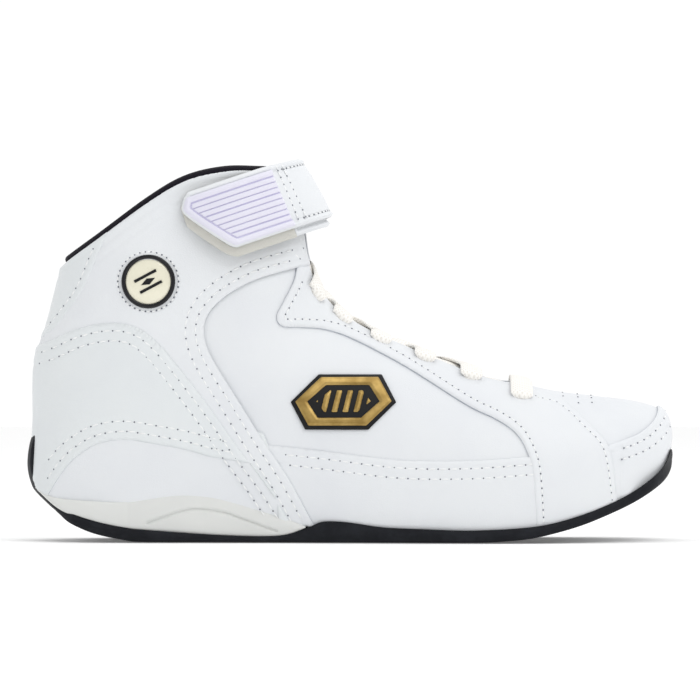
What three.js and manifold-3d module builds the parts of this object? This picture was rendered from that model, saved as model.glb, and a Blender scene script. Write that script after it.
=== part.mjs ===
// A high-topped boxing boot for the right foot, laced up the instep and closed by an ankle strap.
// Millimetres. +X points to the toe, +Z up and +Y to the inner side of the foot.
// The origin lies on the ground, on the flat face of the outsole.

import * as THREE from 'three';
import { mergeVertices } from 'three/addons/utils/BufferGeometryUtils.js';
import Module from 'manifold-3d';

const wasm = await Module();
wasm.setup();

// Thicknesses, and the clearance kept between neighbouring pieces.
const GAP = 0.3;
const PANEL = 2.4;
const STIFFENER = 1.4;
const LINING = 1.8;
const TONGUE = 4;
const FOOTBED = 3.5;
const OUTSOLE_WALL = 2.2;

// Depths below the outer leather face at which each layer starts.
const STIFFENER_DEPTH = PANEL + GAP;
const LINING_DEPTH = STIFFENER_DEPTH + STIFFENER + GAP;
const FOOTBED_DEPTH = LINING_DEPTH + LINING + GAP;
const TONGUE_DEPTH = FOOTBED_DEPTH;

// The throat, where the tongue shows between the eyestays.
const THROAT_FRONT = 80;
const LINING_THROAT_HALF_WIDTH = 28;
const TONGUE_FRONT = 76;
const INSTEP_MIDDLE = -1;

// The lace and its two rows of eyelets: their places along the stations below, and how far
// they stand out from the middle line.
const LACE_RADIUS = 1.6;
const EYELETS = [[5.4, 24], [6.1, 19], [6.75, 15], [7.45, 14], [8.25, 13.5], [9.2, 13.5]];

// The ankle strap: a band along half an ellipse, in a frame that rises to the front.
const STRAP_RISE = THREE.MathUtils.degToRad(19);
const STRAP_BACK = -25;
const STRAP_REACH = 65.5;
const STRAP_HALF_WIDTH = 42;
const STRAP_LOW = 144;
const STRAP_HIGH = 175;
const STRAP_THICK = 2.6;
const HOOK_THICK = 1.4;
const HOOK_DROP = 4.2;
const PATCH_THICK = 2;
const STRAP_HINGE = THREE.MathUtils.degToRad(46.6);
const STRAP_HINGE_SLIT = THREE.MathUtils.degToRad(0.8);

// The round badge on the outer side.
const BADGE_X = -92.5;
const BADGE_Z = 118.8;
const BADGE_RADIUS = 12.3;

const WHITE = { color: 0xe6e8ea, roughness: 0.45, metalness: 0 };
const SOLE_BLACK = { color: 0x15181f, roughness: 0.7, metalness: 0 };
const LINING_BLACK = { color: 0x191720, roughness: 0.95, metalness: 0 };
const WEDGE_WHITE = { color: 0xe8e7e2, roughness: 0.6, metalness: 0 };
const CREAM = { color: 0xe9e2d2, roughness: 0.9, metalness: 0 };
const BOARD_TAN = { color: 0xb79f7c, roughness: 0.9, metalness: 0 };
const LAVENDER = { color: 0xe2e0ee, roughness: 0.5, metalness: 0 };
const LACE_WHITE = { color: 0xfaf8f4, roughness: 0.9, metalness: 0 };
const GOLD = { color: 0xb08a3c, roughness: 0.4, metalness: 0.6 };
const IVORY = { color: 0xe9e4cf, roughness: 0.3, metalness: 0 };

// ---------------------------------------------------------------- the shape of the upper

// The upper is a row of sections from the toe to above the collar. Each is the line, seen from
// the side, from a top point to a base point, and a width that swells and closes along it.
function station(top, base, half, middle, widest, crown, tuckOuter, tuckInner, flare) {
  return { top, base, half, middle, widest, crown, tuckOuter, tuckInner, flare };
}

const STATIONS = [
  station([147.6, 47], [147.5, 44], 1.2, 7, 0.6, 2.3, 0.1, 0.1, 0),
  station([146.4, 53.5], [146.2, 38], 13, 7, 0.6, 2.3, 0.1, 0.1, 0),
  station([141.5, 59.8], [141.5, 31.5], 23, 6.6, 0.6, 2.3, 0.1, 0.1, 0),
  station([131, 63.2], [131, 24], 33, 6, 0.62, 2.3, 0.1, 0.1, 0),
  station([113, 66.6], [113, 15.5], 42, 4, 0.66, 2.2, 0.1, 0.1, 0),
  station([90, 70], [90, 9], 47.5, 1, 0.7, 2, 0.1, 0.12, 0),
  station([58, 78.5], [60, 5.2], 48, -1, 0.76, 1.7, 0.1, 0.16, 0),
  station([26, 89.5], [28, 5], 45, -2, 0.8, 1.55, 0.12, 0.24, 0),
  station([0, 102], [-2, 6], 41.5, -2, 0.8, 1.5, 0.14, 0.3, 0),
  station([-14, 116], [-32, 9.5], 39, -1, 0.76, 1.65, 0.14, 0.28, 0),
  station([-19.5, 131], [-66, 15], 37.5, 0, 0.7, 1.85, 0.12, 0.16, 0),
  station([-21.5, 143], [-102, 17], 36.5, 0, 0.64, 2.05, 0.14, 0.14, 1),
  station([-23, 151.5], [-131, 20], 35.5, 0, 0.6, 2.15, 0.5, 0.5, 4),
  station([-24, 158], [-144.2, 34], 34.5, 0, 0.58, 2.2, 0.9, 0.9, 5),
  station([-24.8, 164], [-144.9, 59], 34, 0, 0.56, 2.25, 0.985, 0.985, 4),
  station([-25.5, 170], [-144.6, 84], 33.5, 0, 0.54, 2.3, 0.985, 0.985, 0),
  station([-26.2, 177], [-138.5, 103], 34, 0, 0.52, 2.3, 0.985, 0.985, 0),
  station([-27, 186], [-132, 131], 36, 0, 0.5, 2.3, 0.985, 0.985, 0),
  station([-28, 197], [-127, 152], 37, 0, 0.5, 2.3, 0.985, 0.985, 0),
];
const LAST_STATION = STATIONS.length - 1;

// A smooth curve through evenly numbered values.
function through(read, s) {
  const i = Math.min(Math.floor(s), LAST_STATION - 1);
  const t = s - i;
  const a = read(STATIONS[Math.max(i - 1, 0)]);
  const b = read(STATIONS[i]);
  const c = read(STATIONS[i + 1]);
  const d = read(STATIONS[Math.min(i + 2, LAST_STATION)]);
  const bend = 2 * a - 5 * b + 4 * c - d;
  const twist = 3 * b - a - 3 * c + d;
  return 0.5 * (2 * b + (c - a) * t + bend * t * t + twist * t * t * t);
}

// A point of the top or base line, moved into the boot by a depth.
function railPoint(rail, s, depth, inward) {
  const x = through((row) => row[rail][0], s);
  const z = through((row) => row[rail][1], s);
  const near = Math.max(s - 0.05, 0);
  const far = Math.min(s + 0.05, LAST_STATION);
  const dx = through((row) => row[rail][0], far) - through((row) => row[rail][0], near);
  const dz = through((row) => row[rail][1], far) - through((row) => row[rail][1], near);
  const length = Math.hypot(dx, dz);
  return [x - (inward * dz * depth) / length, z + (inward * dx * depth) / length];
}

// Half widths up to this are shrunk in proportion, so that the toe end closes at any depth.
const NARROW_HALF = 18;

function section(s, depth) {
  const half = through((row) => row.half, s);
  return {
    top: railPoint('top', s, depth, 1),
    base: railPoint('base', s, depth, -1),
    half: half * (1 - depth / Math.max(half, NARROW_HALF)),
    middle: through((row) => row.middle, s),
    widest: through((row) => row.widest, s),
    crown: through((row) => row.crown, s),
    tuckOuter: through((row) => row.tuckOuter, s),
    tuckInner: through((row) => row.tuckInner, s),
    flare: through((row) => row.flare, s),
  };
}

// The share of the half width at a place u along a section, 0 at its top and 1 at its base.
function swell(cut, u, side) {
  if (u < cut.widest) {
    return Math.sqrt(1 - Math.pow(1 - u / cut.widest, cut.crown));
  }
  const low = (u - cut.widest) / (1 - cut.widest);
  const tuck = side < 0 ? cut.tuckOuter : cut.tuckInner;
  return Math.sqrt(1 - tuck * low * low);
}

function sectionPoint(cut, u, side) {
  const x = cut.top[0] + (cut.base[0] - cut.top[0]) * u;
  const z = cut.top[1] + (cut.base[1] - cut.top[1]) * u;
  return [x, cut.middle + side * cut.half * swell(cut, u, side), z];
}

// The point over a side-view place [x, z], on one side of the foot.
function overPlace(x, z, side, depth) {
  let low = 0;
  let high = LAST_STATION;
  for (let step = 0; step < 30; step += 1) {
    const s = (low + high) / 2;
    const { top, base } = section(s, depth);
    const turn = (base[0] - top[0]) * (z - top[1]) - (base[1] - top[1]) * (x - top[0]);
    if (turn < 0) {
      low = s;
    } else {
      high = s;
    }
  }
  const cut = section((low + high) / 2, depth);
  const reach = Math.hypot(cut.base[0] - cut.top[0], cut.base[1] - cut.top[1]);
  const u = Math.hypot(x - cut.top[0], z - cut.top[1]) / reach;
  return new THREE.Vector3(...sectionPoint(cut, Math.min(u, 1), side));
}

// ---------------------------------------------------------------- solids

function solidOf(geometry) {
  const plain = geometry.clone();
  plain.deleteAttribute('normal');
  plain.deleteAttribute('uv');
  const merged = mergeVertices(plain, 1e-4);
  return new wasm.Manifold(new wasm.Mesh({
    numProp: 3,
    vertProperties: new Float32Array(merged.attributes.position.array),
    triVerts: new Uint32Array(merged.index.array),
  }));
}

// A closed solid from rings of equally many points, capped at both ends.
function solidOfRings(rings) {
  const count = rings[0].length;
  const points = rings.flat(2);
  const faces = [];
  for (let r = 0; r + 1 < rings.length; r += 1) {
    for (let i = 0; i < count; i += 1) {
      const a = r * count + i;
      const b = r * count + (i + 1) % count;
      faces.push(a, b + count, b, a, a + count, b + count);
    }
  }
  for (let i = 1; i + 1 < count; i += 1) {
    faces.push(0, i, i + 1);
    const end = (rings.length - 1) * count;
    faces.push(end, end + i + 1, end + i);
  }
  return new wasm.Manifold(new wasm.Mesh({
    numProp: 3,
    vertProperties: new Float32Array(points),
    triVerts: new Uint32Array(faces),
  }));
}

const CROWN_STEPS = 4;
const WALL_STEPS = 3;
const RINGS = 26;

// The filled boot at a depth below its leather. Its sole side may be let down by a drop, and
// its heel pushed back by a share of the flare.
function boot(depth, drop = 0, flareShare = 0) {
  const rings = [];
  for (let r = 0; r <= RINGS; r += 1) {
    const share = r / RINGS;
    const cut = section(LAST_STATION * share ** 1.15, depth);
    cut.base = [cut.base[0] - cut.flare * flareShare, cut.base[1] - drop];
    const places = [];
    for (let i = 0; i < CROWN_STEPS; i += 1) {
      places.push(cut.widest * (1 - Math.cos((i / CROWN_STEPS) * Math.PI / 2)));
    }
    for (let i = 0; i <= WALL_STEPS; i += 1) {
      places.push(cut.widest + (1 - cut.widest) * Math.sin((i / WALL_STEPS) * Math.PI / 2));
    }
    const outer = places.map((u) => sectionPoint(cut, u, -1));
    const inner = places.slice(1).map((u) => sectionPoint(cut, u, 1)).reverse();
    rings.push([...outer, ...inner]);
  }
  return solidOfRings(rings);
}

// A side-view outline, smooth through its points, for joining with others.
function curve(points, steps = 2) {
  const spline = new THREE.SplineCurve(points.map(([x, z]) => new THREE.Vector2(x, z)));
  return spline.getPoints(steps * (points.length - 1)).map((p) => [p.x, p.y]);
}

// A closed outline moved outwards all round.
function widened(outline, distance) {
  const points = outline.map(([x, z]) => new THREE.Vector2(x, z));
  const turn = THREE.ShapeUtils.isClockWise(points) ? -1 : 1;
  return points.map((point, i) => {
    const before = points[(i + points.length - 1) % points.length];
    const after = points[(i + 1) % points.length];
    const a = point.clone().sub(before).normalize();
    const b = after.clone().sub(point).normalize();
    const out = new THREE.Vector2(a.y + b.y, -a.x - b.x).multiplyScalar(turn).normalize();
    const lean = Math.max(Math.abs(out.x * a.y - out.y * a.x), 0.5);
    return [point.x + (out.x * distance) / lean, point.y + (out.y * distance) / lean];
  });
}

// A bar across the boot with a side-view outline.
const FAR_OUT = 70;
function bar(outline, yLow = -FAR_OUT, yHigh = FAR_OUT) {
  const shape = new THREE.Shape(outline.map(([x, z]) => new THREE.Vector2(x, z)));
  const geometry = new THREE.ExtrudeGeometry(shape, { depth: yHigh - yLow, bevelEnabled: false });
  geometry.rotateX(Math.PI / 2);
  geometry.translate(0, yHigh, 0);
  return solidOf(geometry);
}

// An upright bar whose outline, seen from above, is the same on both sides of a line along X.
function uprightBar(halfOutline, middle) {
  const there = halfOutline.map(([x, y]) => new THREE.Vector2(x, middle - y));
  const back = halfOutline.slice(1).map(([x, y]) => new THREE.Vector2(x, middle + y)).reverse();
  const shape = new THREE.Shape([...there, ...back]);
  return solidOf(new THREE.ExtrudeGeometry(shape, { depth: 250, bevelEnabled: false }));
}

const group = new THREE.Group();
group.name = 'boxing_boot';

// Adds one piece to the boot: the largest body of the solid, without slivers left by cutting.
function addPiece(name, solid, look) {
  const bodies = solid.decompose();
  bodies.sort((a, b) => b.volume() - a.volume());
  const { vertProperties, triVerts, numProp } = bodies[0].getMesh();
  const geometry = new THREE.BufferGeometry();
  const places = [];
  for (let i = 0; i < vertProperties.length; i += numProp) {
    places.push(vertProperties[i], vertProperties[i + 1], vertProperties[i + 2]);
  }
  geometry.setAttribute('position', new THREE.Float32BufferAttribute(places, 3));
  geometry.setIndex(Array.from(triVerts));
  geometry.computeVertexNormals();
  const mesh = new THREE.Mesh(geometry, new THREE.MeshStandardMaterial(look));
  mesh.name = name;
  group.add(mesh);
}

const OUTER_SIDE = bar([[-200, -50], [200, -50], [200, 250], [-200, 250]], -FAR_OUT, -GAP / 2);
const INNER_SIDE = bar([[-200, -50], [200, -50], [200, 250], [-200, 250]], GAP / 2, FAR_OUT);

// ---------------------------------------------------------------- outlines, seen from the side

const COLLAR_EDGE = [
  [-150, 113], [-133, 127], [-116, 138], [-92.5, 154.5], [-75, 164.5], [-57, 168.5], [-40, 169.5],
  [-5, 169.5],
];

function belowCollar(rise) {
  const edge = curve(COLLAR_EDGE).map(([x, z]) => [x, z + rise]);
  return bar([...edge, [200, 169.5 + rise], [200, -40], [-200, -40], [-200, 113 + rise]]);
}

const TOE_CAP = [
  ...curve([[121.7, 18], [121, 32], [119.5, 45]], 1),
  ...curve([[124, 46.2], [131, 49], [138, 54], [143, 61]]),
  [170, 61], [170, -10], [121.7, -10],
];
const TOE_BOX = [
  ...curve([[84, 69.4], [96.6, 65.3], [108.5, 54.6], [117.7, 43], [121.7, 20]]),
  [121.7, -10], [170, -10], [170, 100], [84, 100],
];
const VAMP = [
  ...curve([[-19.8, 126.4], [-26.5, 123.5], [-30.5, 110.3]], 1),
  ...curve([[-34.5, 103], [-22, 98.2], [1.7, 92.7], [25.3, 80.3], [53, 63], [74.7, 50.2], [84, 14]]),
  [84, -20], [140, -20], [140, 110], [0, 127],
];
const HEEL_FOXING = [
  ...curve([[-141, 24], [-131.4, 40.6], [-105, 51.2], [-75.6, 46.6], [-52, 40.5]]),
  [0, 40], [0, -20], [-141, -20],
];
const COUNTER_FRONT = [
  [-94.9, 96.4], [-75.6, 76], [-52, 43.8], [-28.4, 10.5], [-12, -12],
];
const HEEL_COUNTER = [
  ...curve([[-170, 84], [-142, 90], [-127, 96.4], [-107, 100], ...COUNTER_FRONT]),
  [-12, -30], [-170, -30],
];
const HEEL_TAB = [
  ...curve([[-108, 150], [-116.8, 127.7], [-122.4, 114.8], [-129.7, 104.4], [-137.7, 95.6]]),
  [-170, 92], [-170, 150],
];
const COLLAR_PANEL = [
  ...curve([[-4, 127.5], [-32.7, 123.2], [-58.4, 111.4], [-67, 95], [-62, 81], [-28.4, 28.8], [-12, 0]]),
  [-12, -30], [-170, -30], [-170, 220], [20, 220],
];
const MUDGUARD = [
  ...curve([[-60, 45], [-11, 41.6], [21, 38], [53, 37.4], [90, 40]]),
  [90, -30], [-60, -30],
];
const THROAT = [
  [THROAT_FRONT, 50], [50, 52], [20, 61], [-5, 71], [-30, 90], [-46, 116], [-52, 220],
  [60, 220], [THROAT_FRONT, 100],
];

// The throat's half, seen from above: a rounded end that narrows to a slot up the instep.
const THROAT_PLAN = [[THROAT_FRONT, 0], [76, 9], [66, 13], [48, 10], [30, 6.5], [5, 6], [-60, 6]];

// ---------------------------------------------------------------- lace

// A place on a section at a given distance across from the middle line.
function acrossPoint(s, across, depth) {
  const cut = section(s, depth);
  const share = Math.min(Math.abs(across) / cut.half, 0.99);
  const u = cut.widest * (1 - Math.pow(1 - share * share, 1 / cut.crown));
  return new THREE.Vector3(...sectionPoint(cut, u, Math.sign(across) || 1));
}

const OVER_DEPTH = -LACE_RADIUS - 0.4;
const UNDER_DEPTH = PANEL + LACE_RADIUS + 0.4;

// One half of the lace, from side to side up the instep. It comes up through an eyelet, crosses
// over the throat and goes under the facing eyestay to the next eyelet.
function laceRoute(firstSide) {
  const route = [];
  let side = firstSide;
  for (let i = 0; i < EYELETS.length; i += 1) {
    const [here, out] = EYELETS[i];
    route.push(acrossPoint(here, side * out, UNDER_DEPTH));
    route.push(acrossPoint(here, side * out, OVER_DEPTH));
    if (i + 1 < EYELETS.length) {
      const climb = EYELETS[i + 1][0] - here;
      route.push(acrossPoint(here + climb * 0.25, side * out * 0.5, OVER_DEPTH));
      route.push(acrossPoint(here + climb * 0.5, side * 2, OVER_DEPTH + 1.5));
      route.push(acrossPoint(here + climb * 0.7, side * -5, UNDER_DEPTH));
    }
    side = -side;
  }
  return route;
}

// A round tube along the straight lengths of a route, mitred at each of its points.
const LACE_SIDES = 6;
function tubeAlong(route, radius) {
  const rings = [];
  let across = null;
  for (let i = 0; i < route.length; i += 1) {
    const ahead = route[Math.min(i + 1, route.length - 1)].clone().sub(route[i]).normalize();
    const behind = route[i].clone().sub(route[Math.max(i - 1, 0)]).normalize();
    const along = ahead.clone().add(behind).normalize();
    across = across ?? new THREE.Vector3(0.3, 0.2, 1);
    across.addScaledVector(along, -across.dot(along)).normalize();
    const up = new THREE.Vector3().crossVectors(across, along);
    const ring = [];
    for (let side = 0; side < LACE_SIDES; side += 1) {
      const angle = (side / LACE_SIDES) * Math.PI * 2;
      const point = route[i].clone().addScaledVector(across, radius * Math.cos(angle));
      ring.push(point.addScaledVector(up, radius * Math.sin(angle)).toArray());
    }
    rings.push(ring);
  }
  return solidOfRings(rings);
}

function lace(radius) {
  const first = laceRoute(-1);
  const second = laceRoute(1);
  const bridge = [
    first[0],
    acrossPoint(EYELETS[0][0], -10, UNDER_DEPTH),
    acrossPoint(EYELETS[0][0], 10, UNDER_DEPTH),
    second[0],
  ];
  return tubeAlong(first, radius).add(tubeAlong(second, radius)).add(tubeAlong(bridge, radius));
}

// ---------------------------------------------------------------- strap

// A stretch of the strap's wall between two distances outside the strap's outer face, from one
// angle of its ellipse to another, and between two heights of the strap's own frame.
function strapBand(outer, inner, from, to, low, high) {
  const steps = Math.max(3, Math.round(Math.abs(to - from) / 0.16));
  const face = (out, angle) => new THREE.Vector2(
    STRAP_BACK + (STRAP_REACH + out) * Math.cos(angle),
    (STRAP_HALF_WIDTH + out) * Math.sin(angle),
  );
  const angles = Array.from({ length: steps + 1 }, (_, i) => from + ((to - from) * i) / steps);
  const outside = angles.map((angle) => face(outer, angle));
  const inside = angles.map((angle) => face(inner, angle)).reverse();
  const shape = new THREE.Shape([...outside, ...inside]);
  const geometry = new THREE.ExtrudeGeometry(shape, { depth: high - low, bevelEnabled: false });
  geometry.translate(0, 0, low);
  geometry.rotateY(-STRAP_RISE);
  return solidOf(geometry);
}

// A place of the strap's frame, seen from the side: along the strap, and up across it.
function strapPlace([along, up]) {
  const cos = Math.cos(STRAP_RISE);
  const sin = Math.sin(STRAP_RISE);
  return [along * cos - up * sin, along * sin + up * cos];
}

// ---------------------------------------------------------------- sole unit

const upperWithGap = boot(-GAP);

const TREAD = [
  ...curve([[-145, 53], [-149.6, 36], [-145, 21.4], [-133.4, 11.3], [-119.6, 4.5], [-97, 0]]),
  [59, 0],
  ...curve([[84, 2], [103, 7], [119, 13.1], [142.6, 26.5], [148, 33], [148.6, 40]]),
];
const OUTSOLE_TOP_FRONT = [
  [147.8, 40], [134, 24.2], [121.3, 17.8], [103, 11.5], [83.3, 7.3], [55.5, 5.8], [20, 6.4],
];
const WEDGE_UNDERSIDE = [
  [-20, 5.6], [-33, 2.6], [-58.4, 3], [-81, 4.8], [-103.5, 6.4], [-118.7, 9.9], [-133.4, 15],
  [-143.8, 24],
];
const OUTSOLE = [
  ...TREAD,
  ...curve(OUTSOLE_TOP_FRONT),
  [-6, 9.4], [-16, 9.2],
  ...curve(WEDGE_UNDERSIDE),
  [-144.8, 40],
];
const solePlan = boot(-OUTSOLE_WALL, 12, 1);
addPiece('outsole', solePlan.intersect(bar(OUTSOLE)).subtract(upperWithGap), SOLE_BLACK);

const HEEL_WEDGE = [
  ...curve(WEDGE_UNDERSIDE).map(([x, z]) => [x, z + GAP + 0.05]),
  ...curve([[-134, 20.5], [-119.6, 18.8], [-103.5, 18.4], [-72.5, 21.9], [-52.9, 19.1], [-26, 9.4]]),
];
const wedgePlan = boot(GAP - OUTSOLE_WALL, 12, 1);
addPiece('heel_wedge', wedgePlan.intersect(bar(HEEL_WEDGE)).subtract(upperWithGap), WEDGE_WHITE);

// ---------------------------------------------------------------- the lasted upper

const laceRoom = lace(LACE_RADIUS + GAP + 0.05);
const filled = boot(0);
const throat = bar(THROAT).intersect(uprightBar(THROAT_PLAN, INSTEP_MIDDLE));
let leather = filled.subtract(boot(PANEL)).intersect(belowCollar(0)).subtract(throat);
leather = leather.subtract(laceRoom);

// Cuts a panel out of the leather that is left, and clears its edge.
function cutPanel(outline) {
  const panel = leather.intersect(bar(outline));
  leather = leather.subtract(bar(widened(outline, GAP)));
  return panel;
}

function addPair(name, solid, look) {
  addPiece(`${name}_outer`, solid.intersect(OUTER_SIDE), look);
  addPiece(`${name}_inner`, solid.intersect(INNER_SIDE), look);
}

addPiece('toe_cap', cutPanel(TOE_CAP), WHITE);
addPiece('toe_box', cutPanel(TOE_BOX), WHITE);
addPair('heel_foxing', cutPanel(HEEL_FOXING), WHITE);
addPiece('heel_counter', cutPanel(HEEL_COUNTER), WHITE);
addPiece('heel_tab', cutPanel(HEEL_TAB), WHITE);
addPair('collar_panel', cutPanel(COLLAR_PANEL), WHITE);
addPiece('vamp_eyestay', cutPanel(VAMP), WHITE);
addPair('mudguard', cutPanel(MUDGUARD), WHITE);
addPair('side_panel', leather, WHITE);
addPiece('lace', lace(LACE_RADIUS), LACE_WHITE);

// ---------------------------------------------------------------- inside the upper

// A strip along the base line, between two depths, seen from the side.
const STRIP_FROM = 2.4;
const STRIP_TO = 12.5;
const STRIP_STEPS = 16;
function baseLine(depth) {
  const line = [];
  for (let i = 0; i <= STRIP_STEPS; i += 1) {
    const s = STRIP_FROM + ((STRIP_TO - STRIP_FROM) * i) / STRIP_STEPS;
    line.push(railPoint('base', s, depth, -1));
  }
  return line;
}

function baseStrip(upper, lower) {
  return bar([...baseLine(lower), ...baseLine(upper).reverse()]);
}

const beneathBoard = bar([...baseLine(LINING_DEPTH), [-200, 28], [-200, -50], [200, -50], [200, 26]]);
const stiffening = boot(STIFFENER_DEPTH).subtract(boot(STIFFENER_DEPTH + STIFFENER));
const boardStrip = baseStrip(STIFFENER_DEPTH + STIFFENER, STIFFENER_DEPTH);
const board = boot(STIFFENER_DEPTH).intersect(boardStrip).subtract(boot(LINING_DEPTH - GAP));
addPiece('insole_board', board, BOARD_TAN);

const STIFFENER_SIDE = [
  ...curve([[-170, 76], [-130, 84], [-105, 84], [-85, 66], [-62, 40], [-52, 20]]),
  [-52, 0], [-170, 0],
];
const PUFF_SIDE = [
  ...curve([[98, 100], [100, 60], [112, 44], [122, 30]]),
  [122, 0], [170, 0], [170, 100],
];
const PADDING_SIDE = [
  ...curve([[-150, 104], [-127, 106], [-105, 108], [-84, 92], [-70, 105], [-52, 124], [-46, 150]]),
  [-46, 220], [-150, 220],
];
addPiece('heel_stiffener', stiffening.intersect(bar(STIFFENER_SIDE)).subtract(beneathBoard), BOARD_TAN);
addPiece('toe_puff', stiffening.intersect(bar(PUFF_SIDE)).subtract(beneathBoard), BOARD_TAN);
const padding = stiffening.intersect(bar(PADDING_SIDE)).intersect(belowCollar(0));
addPair('collar_padding', padding, CREAM);

const liningThroat = bar(
  THROAT,
  INSTEP_MIDDLE - LINING_THROAT_HALF_WIDTH,
  INSTEP_MIDDLE + LINING_THROAT_HALF_WIDTH,
);
const liningShell = boot(LINING_DEPTH).subtract(boot(LINING_DEPTH + LINING));
const liningOpen = liningShell.intersect(belowCollar(0)).subtract(liningThroat);
addPiece('lining', liningOpen.subtract(laceRoom), LINING_BLACK);

const BINDING_HEIGHT = 3;
const bindingShell = boot(0.5).subtract(boot(LINING_DEPTH + LINING));
const bindingRing = bindingShell.intersect(belowCollar(BINDING_HEIGHT)).subtract(belowCollar(GAP));
addPiece('collar_binding', bindingRing.subtract(throat), LINING_BLACK);

const footbedRoom = boot(FOOTBED_DEPTH);
const footbedStrip = baseStrip(FOOTBED_DEPTH + FOOTBED, FOOTBED_DEPTH);
addPiece('footbed', footbedRoom.intersect(footbedStrip), LINING_BLACK);

// ---------------------------------------------------------------- tongue

const TONGUE_SIDE = [
  [TONGUE_FRONT, 50], [50, 55], [20, 64], [-5, 74], [-30, 92], [-46, 116], [-52, 173],
  [0, 173], [0, 120], [TONGUE_FRONT, 100],
];

// The tongue's half, seen from above: narrow where it is sewn to the vamp.
const TONGUE_PLAN = [[TONGUE_FRONT, 0], [TONGUE_FRONT, 17], [54, 27], [30, 30], [-80, 30]];
const tongueBar = bar(TONGUE_SIDE).intersect(uprightBar(TONGUE_PLAN, INSTEP_MIDDLE));
const tongueSkin = boot(TONGUE_DEPTH).subtract(boot(TONGUE_DEPTH + TONGUE));
addPiece('tongue', tongueSkin.intersect(tongueBar).subtract(laceRoom), LINING_BLACK);

// ---------------------------------------------------------------- strap pieces

const TAB_TIP = THREE.MathUtils.degToRad(-88.5);
const tabEnd = bar([
  [-22.6, 168], [-22, 164], [-9, 147], [-5.5, STRAP_LOW - 1], [80, STRAP_LOW - 1],
  [80, STRAP_HIGH + 1], [-19.3, STRAP_HIGH + 1],
].map(strapPlace));
const underTabEnd = bar([
  [-24, 168], [-23.5, 163], [-10.6, 145], [-6, STRAP_LOW - HOOK_DROP], [60, STRAP_LOW - HOOK_DROP],
  [60, STRAP_HIGH - 2], [-20, STRAP_HIGH - 2],
].map(strapPlace));

const wrap = strapBand(
  0,
  -STRAP_THICK,
  STRAP_HINGE_SLIT - STRAP_HINGE,
  STRAP_HINGE - STRAP_HINGE_SLIT,
  STRAP_LOW,
  STRAP_HIGH,
);
addPiece('strap_wrap', wrap, WHITE);

const tab = strapBand(0, -STRAP_THICK, TAB_TIP, -STRAP_HINGE, STRAP_LOW, STRAP_HIGH);
addPiece('strap_tab', tab.intersect(tabEnd), WHITE);

const ribs = strapBand(
  GAP + PATCH_THICK,
  GAP,
  TAB_TIP,
  -STRAP_HINGE - 0.03,
  STRAP_LOW + 0.6,
  STRAP_HIGH - 0.6,
);
addPiece('grip_patch', ribs.intersect(tabEnd), LAVENDER);

const hookOuter = -STRAP_THICK - GAP;
const hook = strapBand(
  hookOuter,
  hookOuter - HOOK_THICK,
  TAB_TIP,
  -STRAP_HINGE - 0.02,
  STRAP_LOW - HOOK_DROP,
  STRAP_HIGH - 2,
);
addPiece('hook_pad', hook.intersect(underTabEnd), CREAM);

const LOOP_THICK = 1.1;
const LOOP_PAD = [
  [-20, 163], [-9, 147], [14, 147], [14, 171], [-16, 171],
].map(strapPlace);
const loopSkin = boot(-GAP - LOOP_THICK).subtract(upperWithGap);
addPiece('loop_pad', loopSkin.intersect(bar(LOOP_PAD)).intersect(OUTER_SIDE), CREAM);

const ANCHOR_DEPTH = 14;
const anchor = strapBand(0, -ANCHOR_DEPTH, STRAP_HINGE, -TAB_TIP, STRAP_LOW, STRAP_HIGH);
addPiece('strap_anchor', anchor.subtract(upperWithGap), WHITE);

// ---------------------------------------------------------------- badge and emblem

// Turns a lathe's axis to the boot's outward direction at a side-view place, and sets it there.
function setOnSide(geometry, x, z) {
  const centre = overPlace(x, z, -1, 0);
  const ahead = overPlace(x + 4, z, -1, 0).sub(centre);
  const above = overPlace(x, z + 4, -1, 0).sub(centre);
  const out = ahead.cross(above).normalize();
  const turn = new THREE.Quaternion().setFromUnitVectors(new THREE.Vector3(0, 1, 0), out);
  geometry.applyQuaternion(turn);
  geometry.translate(centre.x, centre.y, centre.z);
  return geometry;
}

function lathe(profile) {
  return new THREE.LatheGeometry(profile.map(([r, h]) => new THREE.Vector2(r, h)), 28);
}

const BADGE_ROOT = -4;
const ringInner = BADGE_RADIUS - 3;
const badgeRing = lathe([
  [ringInner, BADGE_ROOT], [BADGE_RADIUS, BADGE_ROOT], [BADGE_RADIUS, 2], [BADGE_RADIUS - 0.8, 3.1],
  [ringInner + 0.6, 3.3], [ringInner, 2.7], [ringInner, BADGE_ROOT],
]);
const domeRadius = ringInner - GAP;
const badgeDome = lathe([
  [0, BADGE_ROOT], [domeRadius, BADGE_ROOT], [domeRadius, 2.2], [domeRadius * 0.7, 3.2], [0, 3.9],
]);
addPiece('badge_ring', solidOf(setOnSide(badgeRing, BADGE_X, BADGE_Z)).subtract(upperWithGap), SOLE_BLACK);
addPiece('badge_dome', solidOf(setOnSide(badgeDome, BADGE_X, BADGE_Z)).subtract(upperWithGap), IVORY);

// A plain six-sided emblem with a raised frame, leaning forwards on the side panel.
const EMBLEM_X = -3.5;
const EMBLEM_Z = 64;
function emblemOutline(half, tall) {
  return [
    [-half, 0], [-half * 0.6, tall], [half * 0.6, tall], [half, 0], [half * 0.6, -tall],
    [-half * 0.6, -tall],
  ].map(([x, z]) => [EMBLEM_X + x + z * 0.25, EMBLEM_Z + z]);
}
const EMBLEM_THICK = 0.8;
const emblemSkin = boot(-GAP - EMBLEM_THICK).subtract(upperWithGap).intersect(OUTER_SIDE);
addPiece('emblem_patch', emblemSkin.intersect(bar(emblemOutline(24, 12.5))), SOLE_BLACK);
const frameSkin = boot(-2 * GAP - 2 * EMBLEM_THICK).subtract(boot(-2 * GAP - EMBLEM_THICK));
const frameBar = bar(emblemOutline(21.5, 10.6)).subtract(bar(emblemOutline(15.5, 6.8)));
addPiece('emblem_frame', frameSkin.intersect(OUTER_SIDE).intersect(frameBar), GOLD);

export default group;
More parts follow.
